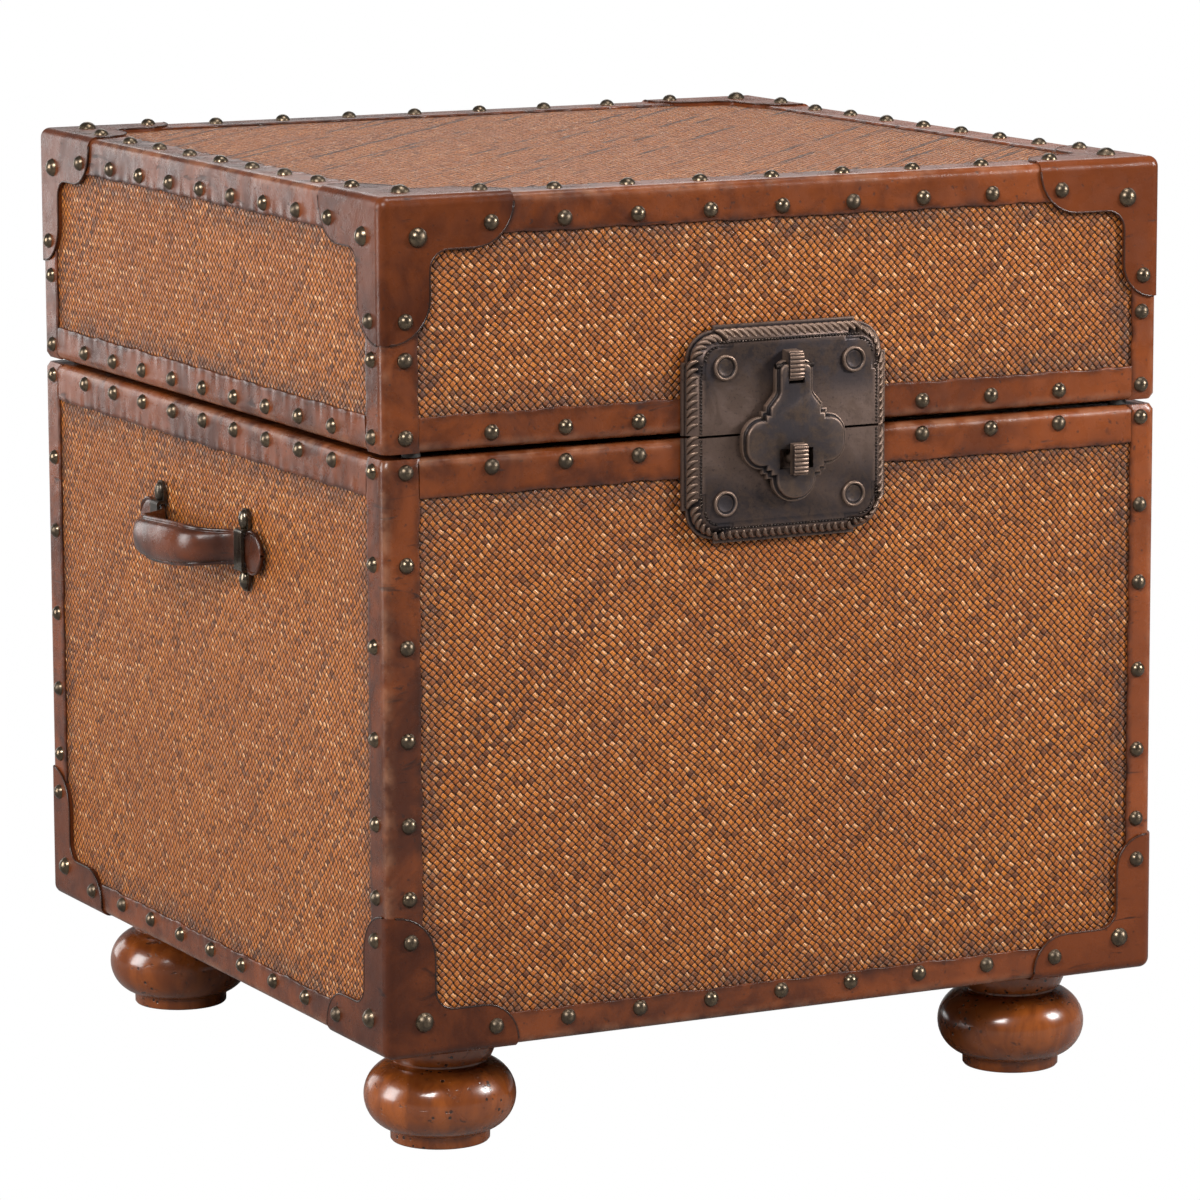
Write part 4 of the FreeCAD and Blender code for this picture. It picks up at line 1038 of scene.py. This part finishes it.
# One half: y, out of its middle, half height, half thickness outside and inside, raised rim
STRAP_LINE = [
    (0, 30.4, 14.8, 7.6, 5.4, 0), (14, 30.3, 14.7, 7.6, 5.4, 0), (28, 29.4, 14.2, 7.5, 5.2, 0),
    (38, 27.4, 13.4, 7.2, 4.8, 0), (45.5, 23.4, 12.6, 6.4, 4.2, 0), (50.5, 17.2, 11.9, 5.0, 3.4, 0),
    (54.5, 10.4, 11.6, 3.4, 2.6, 0), (59.5, 5.0, 11.4, 2.1, 2.0, 0), (65, 2.7, 11.3, 1.8, 1.9, 0),
    (72, 2.6, 11.3, 1.8, 1.9, 0), (76.5, 2.7, 11.7, 1.7, 1.9, 0.3), (80, 2.8, 13.6, 1.5, 1.9, 1.0),
    (85, 2.8, 14.5, 1.4, 1.9, 1.2), (91, 2.8, 13.2, 1.4, 1.9, 1.2), (95.5, 2.8, 10.0, 1.4, 1.9, 1.2),
    (98.5, 2.8, 5.2, 1.4, 1.9, 1.0), (99.5, 2.8, 1.2, 1.2, 1.6, 0.4),
]
HANG_REACH, SAG, TILT = 64, 1.8, 0.06
LEAST_OUT = 0.55


def strap_section(tall, crown, back, rim):
    """Points round a strap as (up, out, how dark): sewn edges beside a padded crown and a flatter back."""
    crown_foot, crown_inset, back_foot, back_inset = 0.8, 2.2, -0.9, 1.5
    edge = [(0, back_foot, 1), (-0.15, 0.1 + rim * 0.6, 1), (0.5, 0.9 + rim, 1), (1.9, 1.0 + rim * 0.4, 0.9)]
    section = [(inward - tall, out, dark) for inward, out, dark in edge]
    for angle in np.linspace(0, math.pi, 13):
        cos, sin = math.cos(angle), math.sin(angle)
        out = crown_foot + max(crown - crown_foot, 0.2) * sin ** 0.62
        section.append((-(tall - crown_inset) * cos, out, 0.8 * abs(cos) ** 3))
    section += [(tall - inward, out, dark) for inward, out, dark in reversed(edge)]
    for angle in np.linspace(0, math.pi, 7):
        cos, sin = math.cos(angle), math.sin(angle)
        section.append(((tall - back_inset) * cos, back_foot - max(back + back_foot, 0.1) * sin ** 0.6, 0.3))
    return section


def grip(side, sign):
    """A leather strap with a padded crown, its ends laid flat under the loops as round leaves."""
    node = f"handle_grip_{side}"
    low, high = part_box(node)
    middle = (low + high) / 2
    half = spline(STRAP_LINE, 5)
    line = np.vstack([half[:0:-1] * np.array([-1, 1, 1, 1, 1, 1]), half])
    rings, darkness = [], []
    for k, (y, out, *section) in enumerate(line):
        way = unit(line[min(k + 1, len(line) - 1)][:2] - line[max(k - 1, 0)][:2])
        hang = math.cos(min(1.0, abs(y) / HANG_REACH) * math.pi / 2) ** 0.6
        droop = -(SAG + TILT * y * sign) * hang
        points = []
        for up, off, dark in strap_section(*section):
            reach = max(out + way[0] * off, LEAST_OUT)
            points.append(Vector((sign * (HALF + reach * MM), middle.y + sign * (y - way[1] * off) * MM,
                                  middle.z + (up + droop) * MM)))
            darkness.append(dark)
        rings.append(points)
    obj = piece(f"{node}_padded", Shape(rings), "base", GRIP)
    point_values(obj, "border", darkness)
    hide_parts(node)


def ear_studs():
    """Long domed studs on the ears of the handle loops."""
    shape = Shape()
    ear_half, stud_place, head = 6 * MM, 7.5 * MM, 2.6 * MM
    axes = (Z * 6.8 * MM, Y * 4.7 * MM, X * 3.7 * MM)
    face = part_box("handle_screws")[1][0] - head
    for side, sign in (("left", -1), ("right", 1)):
        low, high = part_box(f"handle_loops_{side}")
        for y in (low.y + ear_half, high.y - ear_half):
            for z in (low.z + stud_place, high.z - stud_place):
                blob(shape, Vector((sign * face, y, z)), axes, 24, 16)
    obj = piece("handle_studs", shape, "base", HANDLE_BRONZE)
    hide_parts("handle_screws")


grip("left", -1)
grip("right", 1)
ear_studs()


# CAD pieces whose shape is right take their finish here


def dress(material, *nodes):
    for name in nodes:
        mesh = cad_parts[name].data
        mesh.materials.clear()
        mesh.materials.append(material)


dress(PATCH, "lid_corner_patches", "base_corner_patches")
dress(NAIL, "lid_nails", "lid_corner_nails", "base_nails", "base_corner_nails")
dress(BOARD, *(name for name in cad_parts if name.endswith("_panel")))
dress(STEEL, "foot_bolts", "foot_tee_nuts", *(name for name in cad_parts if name.startswith("hinge_")))
dress(DARK_BRONZE, "hasp_pin", "turn_knob_washer")
dress(HANDLE_BRONZE, "handle_loops_left", "handle_loops_right")
dress(RUBBER, "lid_bumpers")


# Floor, light and camera


def seen_and_lit(tree, seen, lit, output):
    """The camera sees one shader, and all other rays meet another."""
    rays = tree.nodes.new("ShaderNodeLightPath")
    choose = tree.nodes.new("ShaderNodeMixShader")
    tree.links.new(rays.outputs["Is Camera Ray"], choose.inputs[0])
    tree.links.new(lit.outputs[0], choose.inputs[1])
    tree.links.new(seen.outputs[0], choose.inputs[2])
    tree.links.new(choose.outputs[0], tree.nodes[output].inputs["Surface"])


def floor():
    """A pale floor that looks white to the camera."""
    reach = 6
    mesh = bpy.data.meshes.new("floor")
    corners = [(-reach, -reach, 0), (reach, -reach, 0), (reach, reach, 0), (-reach, reach, 0)]
    mesh.from_pydata(corners, [], [(0, 1, 2, 3)])
    n = Nodes("white_floor")
    pale = n.new("ShaderNodeBsdfDiffuse")
    n.put((0.3, 0.3, 0.3), pale.inputs["Color"])
    seen_and_lit(n.tree, n.new("ShaderNodeEmission"), pale, "Material Output")
    mesh.materials.append(n.material)
    scene_object("floor", mesh)


def surround():
    """A white background with a weak cool fill light."""
    world = bpy.data.worlds.new("surround")
    bpy.context.scene.world = world
    world.use_nodes = True
    tree = world.node_tree
    white = tree.nodes["Background"]
    white.inputs["Color"].default_value = (1, 1, 1, 1)
    fill = tree.nodes.new("ShaderNodeBackground")
    fill.inputs["Color"].default_value = (0.96, 0.98, 1, 1)
    fill.inputs["Strength"].default_value = 0.2
    seen_and_lit(tree, white, fill, "World Output")


def lamp(name, place, aim, size, power):
    """A rectangular lamp turned towards its aim."""
    data = bpy.data.lights.new(name, "AREA")
    data.shape = "RECTANGLE"
    data.size, data.size_y = size
    data.energy = power
    obj = scene_object(name, data)
    obj.location = place
    obj.rotation_euler = (Vector(aim) - Vector(place)).to_track_quat("-Z", "Y").to_euler()


def camera():
    """The photo's view: a long lens low before the left front corner."""
    picture, focal, shift = 1200, 5854.9, 15.8
    distance, aim_height = 3.987, 0.2275
    azimuth, rise, roll = math.radians(-26.83), math.radians(9.63), math.radians(-0.23)
    data = bpy.data.cameras.new("camera")
    obj = scene_object("camera", data)
    bpy.context.scene.camera = obj
    target = CENTRE + Z * (BASE_LOW + aim_height)
    away = Vector((math.sin(azimuth) * math.cos(rise), -math.cos(azimuth) * math.cos(rise), math.sin(rise)))
    turn = (-away).to_track_quat("-Z", "Y").to_matrix() @ Matrix.Rotation(roll, 3, "Z")
    obj.matrix_world = Matrix.Translation(target + away * distance) @ turn.to_4x4()
    data.sensor_width = 36
    data.lens = data.sensor_width * focal / picture
    data.shift_x = shift / picture
    data.clip_end = 50


floor()
surround()
lamp("key", (-2.4, -2.4, 2.7), (0, 0, 0.3), (1.2, 1.2), 148)
lamp("left", (-2.9, 0.7, 1.0), (0, 0, 0.35), (1.2, 1.6), 82)
lamp("left_back", (-1.2, 3.3, 0.7), (-0.28, 0, 0.35), (1.2, 1.6), 17)
lamp("right", (2.1, -1.7, 1.5), (0.1, 0, 0.35), (0.7, 0.7), 86)
lamp("top", (0.4, -0.5, 3.3), (0, 0, 0.5), (1.2, 1.2), 46)
lamp("back", (1.4, 3.0, 2.2), (0, 0, 0.6), (2.0, 1.2), 20)
camera()
bpy.context.scene.view_settings.view_transform = "Standard"
